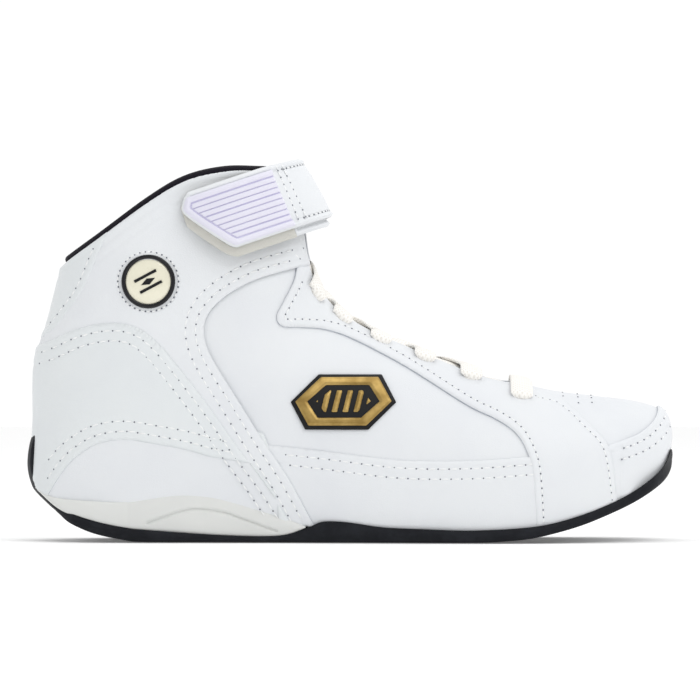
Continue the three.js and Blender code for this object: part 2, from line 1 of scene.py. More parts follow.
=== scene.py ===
# The looks of the boxing boot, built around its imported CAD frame.
# Shapes are worked out in millimetres in the frame's axes and made into meshes in metres.
import math

import bmesh
import bpy
import numpy as np
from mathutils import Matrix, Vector


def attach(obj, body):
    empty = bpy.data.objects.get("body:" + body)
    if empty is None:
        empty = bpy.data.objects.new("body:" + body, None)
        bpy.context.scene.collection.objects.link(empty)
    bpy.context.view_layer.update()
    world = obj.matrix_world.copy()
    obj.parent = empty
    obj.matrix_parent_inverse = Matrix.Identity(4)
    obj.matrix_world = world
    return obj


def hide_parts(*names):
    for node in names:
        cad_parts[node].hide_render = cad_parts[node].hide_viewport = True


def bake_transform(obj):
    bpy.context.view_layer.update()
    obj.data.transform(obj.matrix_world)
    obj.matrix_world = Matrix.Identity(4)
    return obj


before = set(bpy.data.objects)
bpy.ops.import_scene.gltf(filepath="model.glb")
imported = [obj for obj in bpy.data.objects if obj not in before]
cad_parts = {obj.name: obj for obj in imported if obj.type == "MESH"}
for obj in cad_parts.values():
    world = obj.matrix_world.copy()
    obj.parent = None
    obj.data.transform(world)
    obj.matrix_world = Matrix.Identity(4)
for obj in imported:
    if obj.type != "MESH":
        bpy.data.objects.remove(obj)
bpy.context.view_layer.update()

MM = 0.001


# ------------------------------------------------------------------ materials

def material(name, base, roughness, specular=0.5, sheen=0.0, coat=0.0, metallic=0.0):
    """A material with its constant values set on the shader."""
    made = bpy.data.materials.new(name)
    made.use_nodes = True
    sockets = made.node_tree.nodes["Principled BSDF"].inputs
    sockets["Base Color"].default_value = (*base, 1)
    sockets["Roughness"].default_value = roughness
    sockets["Specular IOR Level"].default_value = specular
    sockets["Sheen Weight"].default_value = sheen
    sockets["Coat Weight"].default_value = coat
    sockets["Metallic"].default_value = metallic
    return made


class Detail:
    """Adds colour, roughness and bump detail to a material, in object space or along its UVs."""

    def __init__(self, made):
        self.tree = made.node_tree
        self.shader = self.tree.nodes["Principled BSDF"]
        self.place = self.tree.nodes.new("ShaderNodeTexCoord")
        self.bump_from = None

    def link(self, source, target):
        self.tree.links.new(source, target)

    def node(self, kind, source=None, **values):
        """A node with its values set, fed with texture places where source is given."""
        made = self.tree.nodes.new(kind)
        for key, value in values.items():
            made.inputs[key.replace("_", " ")].default_value = value
        if source is not None:
            self.link(source, made.inputs["Vector"])
        return made

    def noise(self, scale, detail=3.0, rough=0.5):
        place = self.place.outputs["Object"]
        node = self.node("ShaderNodeTexNoise", place, Scale=scale, Detail=detail, Roughness=rough)
        return node.outputs["Fac"]

    def cell_edges(self, scale):
        node = self.node("ShaderNodeTexVoronoi", self.place.outputs["Object"], Scale=scale)
        node.feature = "DISTANCE_TO_EDGE"
        return node.outputs["Distance"]

    def waves(self, scale, direction, stretch=None, uv=False):
        source = self.place.outputs["UV" if uv else "Object"]
        if stretch is not None:
            source = self.node("ShaderNodeMapping", source, Scale=stretch).outputs["Vector"]
        node = self.node("ShaderNodeTexWave", source, Scale=scale)
        node.bands_direction = direction
        return node.outputs["Fac"]

    def spread(self, value, low, high, to_low=0.0, to_high=1.0):
        ends = {"From_Min": low, "From_Max": high, "To_Min": to_low, "To_Max": to_high}
        node = self.node("ShaderNodeMapRange", **ends)
        self.link(value, node.inputs["Value"])
        return node.outputs["Result"]

    def combine(self, a, b, how="MULTIPLY"):
        node = self.node("ShaderNodeMath")
        node.operation = how
        self.link(a, node.inputs[0])
        self.link(b, node.inputs[1])
        return node.outputs["Value"]

    def colour(self, value, *stops):
        """Colours along a value from 0 to 1: stops are (place, (r, g, b))."""
        node = self.node("ShaderNodeValToRGB")
        ramp = node.color_ramp
        while len(ramp.elements) < len(stops):
            ramp.elements.new(0.5)
        for element, (place, shade) in zip(ramp.elements, stops):
            element.position = place
            element.color = (*shade, 1)
        self.link(value, node.inputs["Fac"])
        self.link(node.outputs["Color"], self.shader.inputs["Base Color"])

    def roughness(self, value, low, high):
        self.link(self.spread(value, 0.0, 1.0, low, high), self.shader.inputs["Roughness"])

    def bump(self, value, height_mm, strength=1.0):
        node = self.node("ShaderNodeBump", Strength=strength, Distance=height_mm * MM)
        self.link(value, node.inputs["Height"])
        if self.bump_from is not None:
            self.link(self.bump_from, node.inputs["Normal"])
        self.bump_from = node.outputs["Normal"]
        self.link(self.bump_from, self.shader.inputs["Normal"])


def fine_grained(name, base, roughness, scale, height_mm, strength, **finish):
    made = material(name, base, roughness, **finish)
    detail = Detail(made)
    detail.bump(detail.noise(scale, 2.0), height_mm, strength)
    return made


def leather(name, light, dark):
    made = material(name, light, 0.42, specular=0.42)
    detail = Detail(made)
    grain = detail.cell_edges(900.0)
    pores = detail.noise(1500.0, 2.0)
    cloudy = detail.noise(22.0, 3.0)
    detail.colour(cloudy, (0.3, dark), (0.62, light))
    detail.roughness(pores, 0.36, 0.5)
    detail.bump(detail.noise(60.0, 2.0), 0.25, 0.5)
    detail.bump(detail.spread(grain, 0.0, 0.25), 0.05, 0.45)
    detail.bump(pores, 0.03, 0.4)
    return made


def rubber(name, base, light):
    made = material(name, base, 0.62, specular=0.2)
    detail = Detail(made)
    dust = detail.noise(70.0, 5.0, 0.65)
    detail.colour(dust, (0.45, base), (0.8, light))
    detail.roughness(detail.noise(300.0, 3.0), 0.5, 0.75)
    detail.bump(detail.noise(1200.0, 3.0), 0.05, 0.5)
    return made


def textile(name, light, dark, scale=1400.0, sheen=0.35, uv=False):
    made = material(name, light, 0.9, specular=0.2, sheen=sheen)
    detail = Detail(made)
    across = detail.waves(scale, "X", uv=uv)
    along = detail.waves(scale, "Z" if not uv else "Y", uv=uv)
    weave = detail.combine(across, along)
    detail.colour(weave, (0.1, dark), (0.7, light))
    detail.bump(weave, 0.15, 0.8)
    detail.bump(detail.noise(2500.0, 2.0), 0.05, 0.5)
    return made


def foam(name, light, dark):
    made = material(name, light, 0.55, specular=0.35)
    detail = Detail(made)
    detail.colour(detail.noise(30.0, 4.0), (0.3, dark), (0.65, light))
    detail.roughness(detail.noise(400.0, 2.0), 0.48, 0.64)
    detail.bump(detail.noise(1800.0, 3.0), 0.04, 0.5)
    return made


def lace_weave(name, light, dark):
    made = material(name, light, 0.85, specular=0.2, sheen=0.3)
    detail = Detail(made)
    slant = detail.waves(330.0, "DIAGONAL", uv=True)
    back = detail.waves(330.0, "DIAGONAL", stretch=(-1.0, 1.0, 1.0), uv=True)
    weave = detail.combine(slant, back, "MAXIMUM")
    detail.colour(weave, (0.3, dark), (0.8, light))
    detail.bump(weave, 0.2, 0.8)
    detail.bump(detail.noise(3000.0, 2.0), 0.05, 0.5)
    return made


WHITE_LEATHER = leather("white_leather_look", (0.76, 0.78, 0.8), (0.73, 0.75, 0.78))
HEEL_LEATHER = leather("heel_leather_look", (0.74, 0.77, 0.78), (0.71, 0.74, 0.76))
SOLE_RUBBER = rubber("sole_rubber_look", (0.006, 0.007, 0.01), (0.016, 0.018, 0.023))
WEDGE_FOAM = foam("wedge_foam_look", (0.72, 0.73, 0.71), (0.68, 0.69, 0.675))
LINING_CLOTH = textile("lining_cloth_look", (0.012, 0.008, 0.02), (0.004, 0.003, 0.007), sheen=0.08)
TONGUE_CLOTH = textile("tongue_cloth_look", (0.02, 0.018, 0.026), (0.008, 0.007, 0.011), 1000.0, sheen=0.12)
CREAM_CLOTH = textile("cream_cloth_look", (0.82, 0.81, 0.76), (0.7, 0.69, 0.63), 1700.0)
BOARD_FIBRE = foam("board_fibre_look", (0.5, 0.4, 0.27), (0.42, 0.33, 0.22))
GRIP_RUBBER = foam("grip_rubber_look", (0.77, 0.76, 0.85), (0.72, 0.71, 0.81))
LACE_COTTON = lace_weave("lace_cotton_look", (0.95, 0.93, 0.89), (0.84, 0.81, 0.76))
# The panels' cut edges take a darker blue-grey leather: painted shade along the edge lines between the
# panels.
CUT_EDGE_PAINTED_SHADE = leather("cut_edge_painted_shade_look", (0.5, 0.53, 0.57), (0.42, 0.45, 0.5))
THREAD = fine_grained("thread", (0.87, 0.88, 0.88), 0.6, 4000.0, 0.05, 0.6, sheen=0.2)
# Small dark beads stand for the needle holes and air holes: their colour is painted shade in the holes.
HOLE_PAINTED_SHADE = fine_grained("needle_hole_painted_shade", (0.16, 0.17, 0.2), 0.9, 3000.0, 0.03, 0.5, specular=0.1)


# A distance that stands for no limit.
FAR = 99.0

# ------------------------------------------------------------------ the shape of the upper

# Sections from toe to collar: top x, z, base x, z, half width, middle, widest, crown, and how far
# the base tucks in on the outer and the inner side. They follow the CAD part, but fuller at the toe
# and a little fuller at the heel.
STATIONS = np.array([
    (148.6, 46, 147.0, 36.5, 1.2, 7, 0.6, 2.3, 0.05, 0.05),
    (147.6, 54.5, 145.5, 33, 14, 7, 0.6, 2.3, 0.05, 0.05),
    (142.8, 61.2, 140.9, 28.5, 24, 6.6, 0.6, 2.3, 0.05, 0.05),
    (131, 65, 130.7, 21.5, 33.5, 6, 0.62, 2.3, 0.05, 0.05),
    (113, 67.6, 113, 14, 42, 4, 0.66, 2.2, 0.06, 0.06),
    (90, 70.6, 90, 8, 47.5, 1, 0.7, 2, 0.07, 0.1),
    (58, 78.5, 60, 5.2, 48, -1, 0.76, 1.7, 0.1, 0.16),
    (26, 89.5, 28, 5, 45, -2, 0.8, 1.55, 0.12, 0.24),
    (0, 102, -2, 6, 41.5, -2, 0.8, 1.5, 0.14, 0.3),
    (-14, 116, -32, 9.5, 39, -1, 0.76, 1.65, 0.14, 0.28),
    (-19.5, 131, -66, 15, 37.5, 0, 0.7, 1.85, 0.12, 0.16),
    (-21.5, 143, -102, 17, 36.5, 0, 0.64, 2.05, 0.14, 0.14),
    (-23, 151.5, -133, 19.5, 35.5, 0, 0.6, 2.15, 0.5, 0.5),
    (-24, 158, -145, 29, 34.5, 0, 0.58, 2.2, 0.9, 0.9),
    (-24.8, 164, -145, 57, 34, 0, 0.56, 2.25, 0.998, 0.998),
    (-25.5, 170, -144.6, 84, 33.5, 0, 0.54, 2.3, 0.998, 0.998),
    (-26.2, 177, -138.5, 103, 34, 0, 0.52, 2.3, 0.998, 0.998),
    (-27, 186, -132, 131, 36, 0, 0.5, 2.3, 0.998, 0.998),
    (-28, 197, -127, 152, 37, 0, 0.5, 2.3, 0.998, 0.998),
])
LAST_STATION = len(STATIONS) - 1
TOP_X, TOP_Z, BASE_X, BASE_Z, HALF, MIDDLE, WIDEST, CROWN, TUCK_OUTER, TUCK_INNER = range(10)


def bent(a, b, c, d, t):
    """A place from b to c on the smooth curve through four values in a row."""
    bend = 2 * a - 5 * b + 4 * c - d
    twist = 3 * b - a - 3 * c + d
    return 0.5 * (2 * b + (c - a) * t + bend * t**2 + twist * t**3)


def eased(t):
    """From 0 to 1 with a soft start and end."""
    return t * t * (3 - 2 * t)


def through(column, s):
    """A smooth curve through one column of the stations."""
    values = STATIONS[:, column]
    i = np.clip(np.floor(s).astype(int), 0, LAST_STATION - 1)
    before, after = np.maximum(i - 1, 0), np.minimum(i + 2, LAST_STATION)
    return bent(values[before], values[i], values[i + 1], values[after], s - i)


def surface(s, u, side):
    """Points of the upper's outer face: s along the stations, u from top to base, side -1 or 1."""
    widest = through(WIDEST, s)
    tuck = np.minimum(np.where(side < 0, through(TUCK_OUTER, s), through(TUCK_INNER, s)), 0.998)
    crown = 1 - np.clip(1 - u / widest, 0, 1) ** through(CROWN, s)
    low = np.clip((u - widest) / (1 - widest), 0, 1)
    swell = np.sqrt(np.where(u < widest, crown, 1 - tuck * low**2))
    x = through(TOP_X, s) * (1 - u) + through(BASE_X, s) * u
    z = through(TOP_Z, s) * (1 - u) + through(BASE_Z, s) * u
    y = through(MIDDLE, s) + side * through(HALF, s) * swell
    return np.stack([x, y, z], -1)


def unit(vectors):
    length = np.linalg.norm(vectors, axis=-1, keepdims=True)
    return vectors / np.maximum(length, 1e-9)


def over_place(x, z, side):
    """Surface points and outward normals over side-view places, on one side of the foot."""
    x, z = np.asarray(x, float), np.asarray(z, float)

    def found(px, pz):
        low = np.zeros_like(px)
        high = np.full_like(px, LAST_STATION)
        for _ in range(34):
            s = (low + high) / 2
            top_x, top_z = through(TOP_X, s), through(TOP_Z, s)
            turn = (through(BASE_X, s) - top_x) * (pz - top_z)
            turn = turn - (through(BASE_Z, s) - top_z) * (px - top_x)
            low = np.where(turn < 0, s, low)
            high = np.where(turn < 0, high, s)
        s = (low + high) / 2
        reach = np.hypot(through(BASE_X, s) - through(TOP_X, s), through(BASE_Z, s) - through(TOP_Z, s))
        along = (px - through(TOP_X, s)) * (through(BASE_X, s) - through(TOP_X, s))
        along = along + (pz - through(TOP_Z, s)) * (through(BASE_Z, s) - through(TOP_Z, s))
        return surface(s, np.clip(along / reach**2, 0, 1), np.full_like(px, side))

    step = 0.4
    ahead = found(x + step, z) - found(x - step, z)
    above = found(x, z + step) - found(x, z - step)
    return found(x, z), unit(np.cross(ahead, above)) * (-side if side < 0 else 1) * np.sign(-side)


def across_place(s, across, out=0.0):
    """A surface point at a distance across from the middle line, lifted by out."""

    def point(at_s, at_across):
        half = through(HALF, at_s)
        share = np.clip(np.abs(at_across) / half, 0, 0.99)
        u = through(WIDEST, at_s) * (1 - (1 - share**2) ** (1 / through(CROWN, at_s)))
        return surface(at_s, u, np.where(at_across < 0, -1.0, 1.0))

    s, across = np.asarray(s, float), np.asarray(across, float)
    along = point(s + 0.02, across) - point(s - 0.02, across)
    over = point(s, across + 0.3) - point(s, across - 0.3)
    normal = unit(np.cross(over, along))
    return point(s, across) + normal * np.asarray(out)[..., None], normal


# ------------------------------------------------------------------ outlines in two dimensions

def smooth(points, steps=10):
    """A smooth open line through given points."""
    points = np.asarray(points, float)
    line = []
    for i in range(len(points) - 1):
        before, after = max(i - 1, 0), min(i + 2, len(points) - 1)
        for t in np.arange(steps) / steps:
            line.append(bent(points[before], points[i], points[i + 1], points[after], t))
    line.append(points[-1])
    return np.array(line)


def joined(*parts):
    return np.concatenate([np.asarray(part, float).reshape(-1, 2) for part in parts])


def line_distance(line, x, z):
    """The distance from places to an open line."""
    place = np.stack([np.ravel(x), np.ravel(z)], -1)
    best = np.full(len(place), 1e9)
    for a, b in zip(line[:-1], line[1:]):
        edge = b - a
        t = np.clip(((place - a) @ edge) / max(edge @ edge, 1e-12), 0, 1)
        best = np.minimum(best, np.linalg.norm(place - a - t[:, None] * edge, axis=1))
    return best.reshape(np.shape(x))


def inside(outline, x, z):
    """The distance into a closed outline, negative outside it."""
    closed = np.concatenate([outline, outline[:1]])
    distance = line_distance(closed, x, z)
    px, pz = np.ravel(x), np.ravel(z)
    odd = np.zeros(len(px), bool)
    for (ax, az), (bx, bz) in zip(closed[:-1], closed[1:]):
        crosses = (az > pz) != (bz > pz)
        at = ax + (pz - az) * (bx - ax) / (bz - az if bz != az else 1e-12)
        odd ^= crosses & (px < at)
    return np.where(odd.reshape(np.shape(x)), distance, -distance)


def resampled(line, pitch):
    """Places along a line at an even pitch."""
    line = np.asarray(line, float)
    steps = np.linalg.norm(np.diff(line, axis=0), axis=1)
    reach = np.concatenate([[0], np.cumsum(steps)])
    count = max(int(reach[-1] // pitch), 1)
    at = np.arange(count + 1) * (reach[-1] / count)
    return np.stack([np.interp(at, reach, line[:, k]) for k in range(line.shape[1])], -1)


def beside(line, distance):
    """A line moved to its left by a distance."""
    direction = unit(np.gradient(line, axis=0))
    return line + np.stack([-direction[:, 1], direction[:, 0]], -1) * distance


# ------------------------------------------------------------------ meshes

def make(name, points_mm, faces, *looks, face_looks=None, uvs=None):
    """A smooth mesh object from points in millimetres."""
    mesh = bpy.data.meshes.new(name)
    mesh.from_pydata((np.asarray(points_mm) * MM).tolist(), [], [list(map(int, f)) for f in faces])
    for look in looks:
        mesh.materials.append(look)
    if face_looks is not None:
        mesh.polygons.foreach_set("material_index", np.asarray(face_looks, np.int32))
    if uvs is not None:
        corners = np.zeros(len(mesh.loops), np.int32)
        mesh.loops.foreach_get("vertex_index", corners)
        mesh.uv_layers.new(name="UVMap").data.foreach_set("uv", np.asarray(uvs)[corners].ravel())
    work = bmesh.new()
    work.from_mesh(mesh)
    bmesh.ops.remove_doubles(work, verts=work.verts, dist=1e-6)
    bmesh.ops.dissolve_degenerate(work, edges=work.edges, dist=1e-6)
    bmesh.ops.recalc_face_normals(work, faces=work.faces)
    work.to_mesh(mesh)
    work.free()
    mesh.polygons.foreach_set("use_smooth", np.ones(len(mesh.polygons), bool))
    made = bpy.data.objects.new(name, mesh)
    bpy.context.scene.collection.objects.link(made)
    return made


def keep_edges(made, degrees):
    """Sharp edges stay sharp in a smooth mesh."""
    mesh = made.data
    work = bmesh.new()
    work.from_mesh(mesh)
    limit = math.radians(degrees)
    for edge in work.edges:
        if len(edge.link_faces) == 2 and edge.calc_face_angle(0) > limit:
            edge.smooth = False
    work.to_mesh(mesh)
    work.free()
    return made


def tube_faces(count, sides):
    """The faces of a closed tube through a count of rings, with flat ends."""
    faces = []
    for first in range(0, (count - 1) * sides, sides):
        for k in range(sides):
            n = (k + 1) % sides
            faces.append((first + k, first + n, first + sides + n, first + sides + k))
    faces.append(list(range(sides))[::-1])
    faces.append(list(range((count - 1) * sides, count * sides)))
    return faces


def loft(name, rows, look):
    """A closed solid through rings of points, with flat ends."""
    return make(name, rows.reshape(-1, 3), tube_faces(*rows.shape[:2]), look)


def belongs(made, body, slot, *nodes):
    """The body a piece rides on, and the nodes it stands for, which it hides; slot is not used."""
    if body is not None:
        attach(made, body)
    if nodes:
        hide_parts(*nodes)


class Patch:
    """A grid of surface points with normals, from which pieces are cut by a field."""

    def __init__(self, points, normals, closed):
        self.points = points
        self.normals = normals
        self.closed = closed
        self.x, self.y, self.z = points[..., 0], points[..., 1], points[..., 2]

    def cut(self, field):
        """The cells where the field is above 0, cut along its zero line."""
        rows, columns = field.shape
        value = np.where(np.abs(field) < 0.02, 0.02, field).ravel()
        ends = columns if self.closed else columns - 1
        corner = np.arange(rows * columns).reshape(rows, columns)
        right = np.roll(corner, -1, axis=1)
        quads = np.stack([corner[:-1], right[:-1], right[1:], corner[1:]], -1)[:, :ends].reshape(-1, 4)
        positive = value[quads] > 0
        whole = quads[positive.all(1)]
        parts = quads[positive.any(1) & ~positive.all(1)]
        index = {}
        sources = []

        def vertex(p, q):
            key = (p, q) if p < q else (q, p)
            if key not in index:
                index[key] = len(sources)
                p, q = key
                share = 0.0 if p == q else value[p] / (value[p] - value[q])
                sources.append((p, q, share))
            return index[key]

        faces = [[vertex(p, p) for p in quad] for quad in whole.tolist()]
        for quad in parts.tolist():
            face = []
            for p, q in zip(quad, quad[1:] + quad[:1]):
                if value[p] > 0:
                    face.append(vertex(p, p))
                if (value[p] > 0) != (value[q] > 0):
                    face.append(vertex(p, q))
            if len(face) > 2:
                faces.append(face)
        return np.array(sources), faces

    def piece(self, name, field, top, bottom, look, under=None, wall=None, marked=None, extra=None):
        """A solid cut from the patch, between the heights top and bottom, with its looks.

        top gives the height from the distance to the piece's edge. extra lifts both faces, and marked
        is a look with the field that says where it shows.
        """
        sources, faces = self.cut(field)
        first, second = sources[:, :2].astype(int).T
        share = sources[:, 2:]

        def blended(values):
            flat = values.reshape(-1, values.shape[-1])
            return flat[first] * (1 - share) + flat[second] * share

        base = blended(self.points)
        normal = unit(blended(self.normals))
        edge = np.where(first == second, field.ravel()[first], 0).clip(0)
        lift = 0.0 if extra is None else blended(extra[..., None])[:, 0]
        height = top(edge) + lift
        low = (bottom(edge) if callable(bottom) else np.full(len(base), bottom)) + lift
        upper = base + normal * height[:, None]
        lower = base + normal * low[:, None]
        count = len(base)
        walls = {}
        for face in faces:
            for p, q in zip(face, face[1:] + face[:1]):
                if walls.pop((q, p), None) is None:
                    walls[(p, q)] = True
        solid = list(faces)
        solid += [[v + count for v in reversed(face)] for face in faces]
        solid += [[q, p, p + count, q + count] for p, q in walls]
        looks = [look, under or look, wall or look]
        face_looks = [0] * len(faces) + [1] * len(faces) + [2] * len(walls)
        if marked is not None:
            looks.append(marked[0])
            mark = blended(marked[1][..., None])[:, 0]
            for k, face in enumerate(faces):
                if mark[face].mean() > 0:
                    face_looks[k] = 3
        return make(name, np.concatenate([upper, lower]), solid, *looks, face_looks=face_looks)


def ring_grid(rows, crown_steps, wall_steps):
    """The upper's whole outer face as a patch of rings from toe to collar."""
    fine = np.linspace(0, LAST_STATION, 2000)
    run = np.hypot(np.gradient(through(TOP_X, fine)), np.gradient(through(TOP_Z, fine)))
    run = run + np.hypot(np.gradient(through(BASE_X, fine)), np.gradient(through(BASE_Z, fine)))
    run = run + 0.7 * np.abs(np.gradient(through(HALF, fine)))
    reach = np.cumsum(run)
    s = np.interp(np.linspace(reach[0], reach[-1], rows), reach, fine)[:, None]
    widest = through(WIDEST, s)
    crown = 1 - np.cos(np.arange(crown_steps) / crown_steps * np.pi / 2)
    wall = np.sin(np.arange(wall_steps + 1) / wall_steps * np.pi / 2)
    places = np.concatenate([widest * crown, widest + (1 - widest) * wall], axis=1)
    u = np.concatenate([places, places[:, :0:-1]], axis=1)
    side = np.concatenate([np.full(places.shape[1], -1.0), np.ones(places.shape[1] - 1)])
    s_all = np.broadcast_to(s, u.shape)
    side_all = np.broadcast_to(side, u.shape)
    points = surface(s_all, u, side_all)
    points[0] = points[0].mean(0)
    along = np.gradient(points, axis=0)
    around = np.roll(points, -1, axis=1) - np.roll(points, 1, axis=1)
    normals = unit(np.cross(around, along))
    outward = points - points.mean(1, keepdims=True)
    flip = np.sign((normals * outward).sum(-1).mean())
    patch = Patch(points, normals * flip, True)
    patch.u, patch.s, patch.side, patch.widest = u, s_all, side_all, np.broadcast_to(widest, u.shape)
    patch.normals[0] = (1, 0, 0)
    return patch


UPPER = ring_grid(430, 60, 46)


def rippled(x, z, side):
    """The leather's slow unevenness in millimetres."""
    wave = 0.16 * np.sin(x / 9.0 + 1.3 * np.sin(z / 14.0))
    return wave + 0.12 * np.sin(z / 7.0 + x / 23.0 + side)


RIPPLE = rippled(UPPER.x, UPPER.z, UPPER.side)

# ------------------------------------------------------------------ panel outlines

COLLAR_LINE = smooth([
    (-152, 110), (-133, 126), (-116, 138), (-92.5, 155.2), (-75, 165.3), (-57, 169.6), (-40, 170), (-5, 170),
])
COLLAR_ROLL_LINE = smooth([
    (-136, 126), (-133, 128), (-116, 139.2), (-92.5, 155.8), (-75, 165.6), (-57, 169.7), (-40, 170),
    (-20, 170),
])
BELOW_COLLAR = joined(COLLAR_LINE, [(200, 170), (200, -40), (-220, -40), (-220, 110)])
TOE_CAP_EDGE = smooth([(119.5, 45), (131, 49), (138, 54), (141.5, 59.5), (142, 66)])
VAMP_FRONT = smooth([(84, 78), (84.5, 69.4), (96.6, 65.3), (108.5, 54.6), (117.7, 43), (121.7, 18)])
EYESTAY_EDGE = smooth([
    (-24, 132), (-25.5, 121), (-30.5, 110.3), (-34, 103), (-31, 98.6), (-22, 98.2), (-11, 97.2),
    (1.7, 92.7), (25.3, 80.3), (53, 63), (66, 56.5), (75, 50), (80, 41.6), (82.6, 31), (84.3, 5),
])
COLLAR_FRONT = smooth([
    (-4, 127.5), (-19.8, 126.4), (-32.7, 123.2), (-45.5, 118.9), (-58.4, 111.4), (-65.9, 102.8),
    (-67, 93.2), (-62.7, 82.4), (-52, 65.2), (-41.3, 48.1), (-28.4, 28.8), (-16, 6),
])
COUNTER_EDGE = smooth([
    (-170, 82), (-142, 90), (-127, 96.4), (-114.2, 99.6), (-103.5, 99.6), (-94.9, 96.4), (-86.3, 88.9),
    (-75.6, 76), (-64.9, 62), (-52, 43.8), (-39.1, 26.6), (-28.4, 10.5), (-22, 0),
])
COUNTER_LOW = smooth([
    (-146, 8), (-136.5, 24), (-132, 31), (-126, 38), (-116, 44.5), (-104, 46.8), (-90.6, 45), (-75.6, 42.2),
    (-62.7, 38.8), (-45, 36),
])
MUDGUARD_EDGE = smooth([
    (-62, 45), (-36.9, 44.2), (-11.2, 41.6), (21, 37.8), (53.2, 37.4), (79, 39.1), (100, 41),
])
HEEL_TAB_EDGE = smooth([
    (-108, 150), (-112.5, 137.3), (-116.8, 127.7), (-122.4, 114.8), (-129.7, 104.4), (-137.7, 95.6),
    (-160, 82),
])
THROAT_MIDDLE = -1.0
THROAT_SIDE = smooth([(80, 0), (78.5, 7), (72, 12), (62, 12.5), (46, 9.5), (30, 6.5), (5, 5.8), (-70, 5.8)])
THROAT = joined(THROAT_SIDE, THROAT_SIDE[::-1] * (1, -1))

collar_room = inside(BELOW_COLLAR, UPPER.x, UPPER.z)
crown_only = (UPPER.u < UPPER.widest) & (UPPER.z > 50)


def crown_field(outline, elsewhere):
    """How far inside an outline seen from above the crown of the upper is."""
    return np.where(crown_only, inside(outline, UPPER.x, UPPER.y - THROAT_MIDDLE), elsewhere)


throat_room = -crown_field(THROAT, -FAR)


def field_of(*outline_parts):
    return inside(joined(*outline_parts), UPPER.x, UPPER.z)


# Eyelets: place along the stations and distance across. All but the first are nearer the middle
# than in the CAD part.
EYELETS = [(5.4, 24), (6.1, 16.4), (6.75, 12), (7.45, 10.2), (8.25, 9.4), (9.2, 11.8)]
EYELET_RADIUS = 2.3
eyelet_room = np.full(UPPER.x.shape, FAR)
for station, out in EYELETS:
    for hand in (-1, 1):
        centre, _ = across_place(station, hand * out)
        eyelet_room = np.minimum(eyelet_room, np.linalg.norm(UPPER.points - centre, axis=-1) - EYELET_RADIUS)

ROWS = (3.7, 8.3)


def rounded(edge, reach):
    """From 0 at a piece's edge to 1 at a distance of reach, as a quarter round."""
    return 1 - (1 - np.clip(edge / reach, 0, 1)) ** 2


def leather_top(height, rows, thickness=0.65, rounding=0.8):
    """The height of a panel from the distance to its edge: a rounded edge and stitch furrows."""

    def top(edge):
        rise = rounded(edge, rounding)
        furrow = sum(np.exp(-(((edge - row) / 0.8) ** 2)) for row in rows)
        return height - thickness * (1 - rise) - 0.28 * furrow

    return top


PANEL_DEPTH = 1.7


def panel(name, field, height, rows=(), look=WHITE_LEATHER, nodes=(), extra=0.0):
    """One leather panel of the upper, of both sides or of one side, standing for its CAD nodes."""
    top = leather_top(height, rows)
    # The walls along each panel's edge take the darker cut-edge look, which is painted shade.
    made = UPPER.piece(name, field, top, height - PANEL_DEPTH, look, wall=CUT_EDGE_PAINTED_SHADE, extra=RIPPLE + extra)
    belongs(made, "root", "upper_leather", *nodes)


def pair(name, field, height, rows=(), look=WHITE_LEATHER):
    """A panel on each side of the foot, meeting on the middle line."""
    for word, hand in (("outer", -1), ("inner", 1)):
        own = (UPPER.y - through(MIDDLE, UPPER.s)) * hand
        panel(f"{name}_{word}_skin", np.minimum(field, own), height, rows, look, (f"{name}_{word}",))


SIDE_HEIGHT, TOE_HEIGHT, MUD_HEIGHT, CAP_HEIGHT = -1.0, -1.1, 0.0, 0.35
VAMP_HEIGHT, COLLAR_HEIGHT, FOXING_HEIGHT, COUNTER_HEIGHT, TAB_HEIGHT = 0.45, 1.15, 0.4, 1.95, 1.6

side_field = field_of([
    (-78, -30), (-78, 116), (-40, 134), (-8, 134), (0, 102), (60, 76), (92, 52), (92, -30),
])
pair("side_panel", np.minimum(side_field, throat_room), SIDE_HEIGHT)
toe_box_field = field_of([(78, 62), (78, 120), (190, 120), (190, 38), (112, 38)])
panel("toe_box_skin", toe_box_field, TOE_HEIGHT, nodes=("toe_box",))
pair("mudguard", field_of(MUDGUARD_EDGE, [(100, -30), (-62, -30)]), MUD_HEIGHT, ROWS)
panel(
    "toe_cap_skin",
    field_of([(115, -30), (115, 43)], TOE_CAP_EDGE, [(190, 66), (190, -30)]),
    CAP_HEIGHT,
    ROWS,
    nodes=("toe_cap",),
    extra=-0.65 * np.clip((127 - UPPER.x) / 4.5, 0, 1),
)
vamp_field = field_of(VAMP_FRONT, [(121.7, -40), (84.3, -40)], EYESTAY_EDGE[::-1], [(-24, 150), (84, 150)])
vamp_field = np.minimum(np.minimum(vamp_field, throat_room), eyelet_room)
panel("vamp_eyestay_skin", vamp_field, VAMP_HEIGHT, (3.5,), nodes=("vamp_eyestay",))
collar_field = field_of(COLLAR_FRONT, [(-16, -40), (-220, -40), (-220, 260), (-4, 260)])
collar_field = np.minimum(np.minimum(collar_field, throat_room), collar_room)
pair("collar_panel", collar_field, COLLAR_HEIGHT, ROWS)
foxing_field = field_of([(-150, 6), (-150, 60), (-40, 50), (-22, 6)])
pair("heel_foxing", foxing_field, FOXING_HEIGHT, look=HEEL_LEATHER)
counter_field = field_of(COUNTER_EDGE, [(-22, -30), (-30, -30)], [(-34, 22)], COUNTER_LOW[::-1], [(-220, 0)])
panel("heel_counter_skin", counter_field, COUNTER_HEIGHT, ROWS, HEEL_LEATHER, nodes=("heel_counter",))
tab_field = np.minimum(field_of(HEEL_TAB_EDGE, [(-220, 70), (-220, 190), (-108, 190)]), collar_room)
panel("heel_tab_skin", tab_field, TAB_HEIGHT, (3.0,), HEEL_LEATHER, nodes=("heel_tab",))

# ------------------------------------------------------------------ stitching

HOLE_RADIUS = 0.4
LONG_STITCH, SHORT_STITCH, BADGE_STITCH = 4.8, 3.3, 2.5


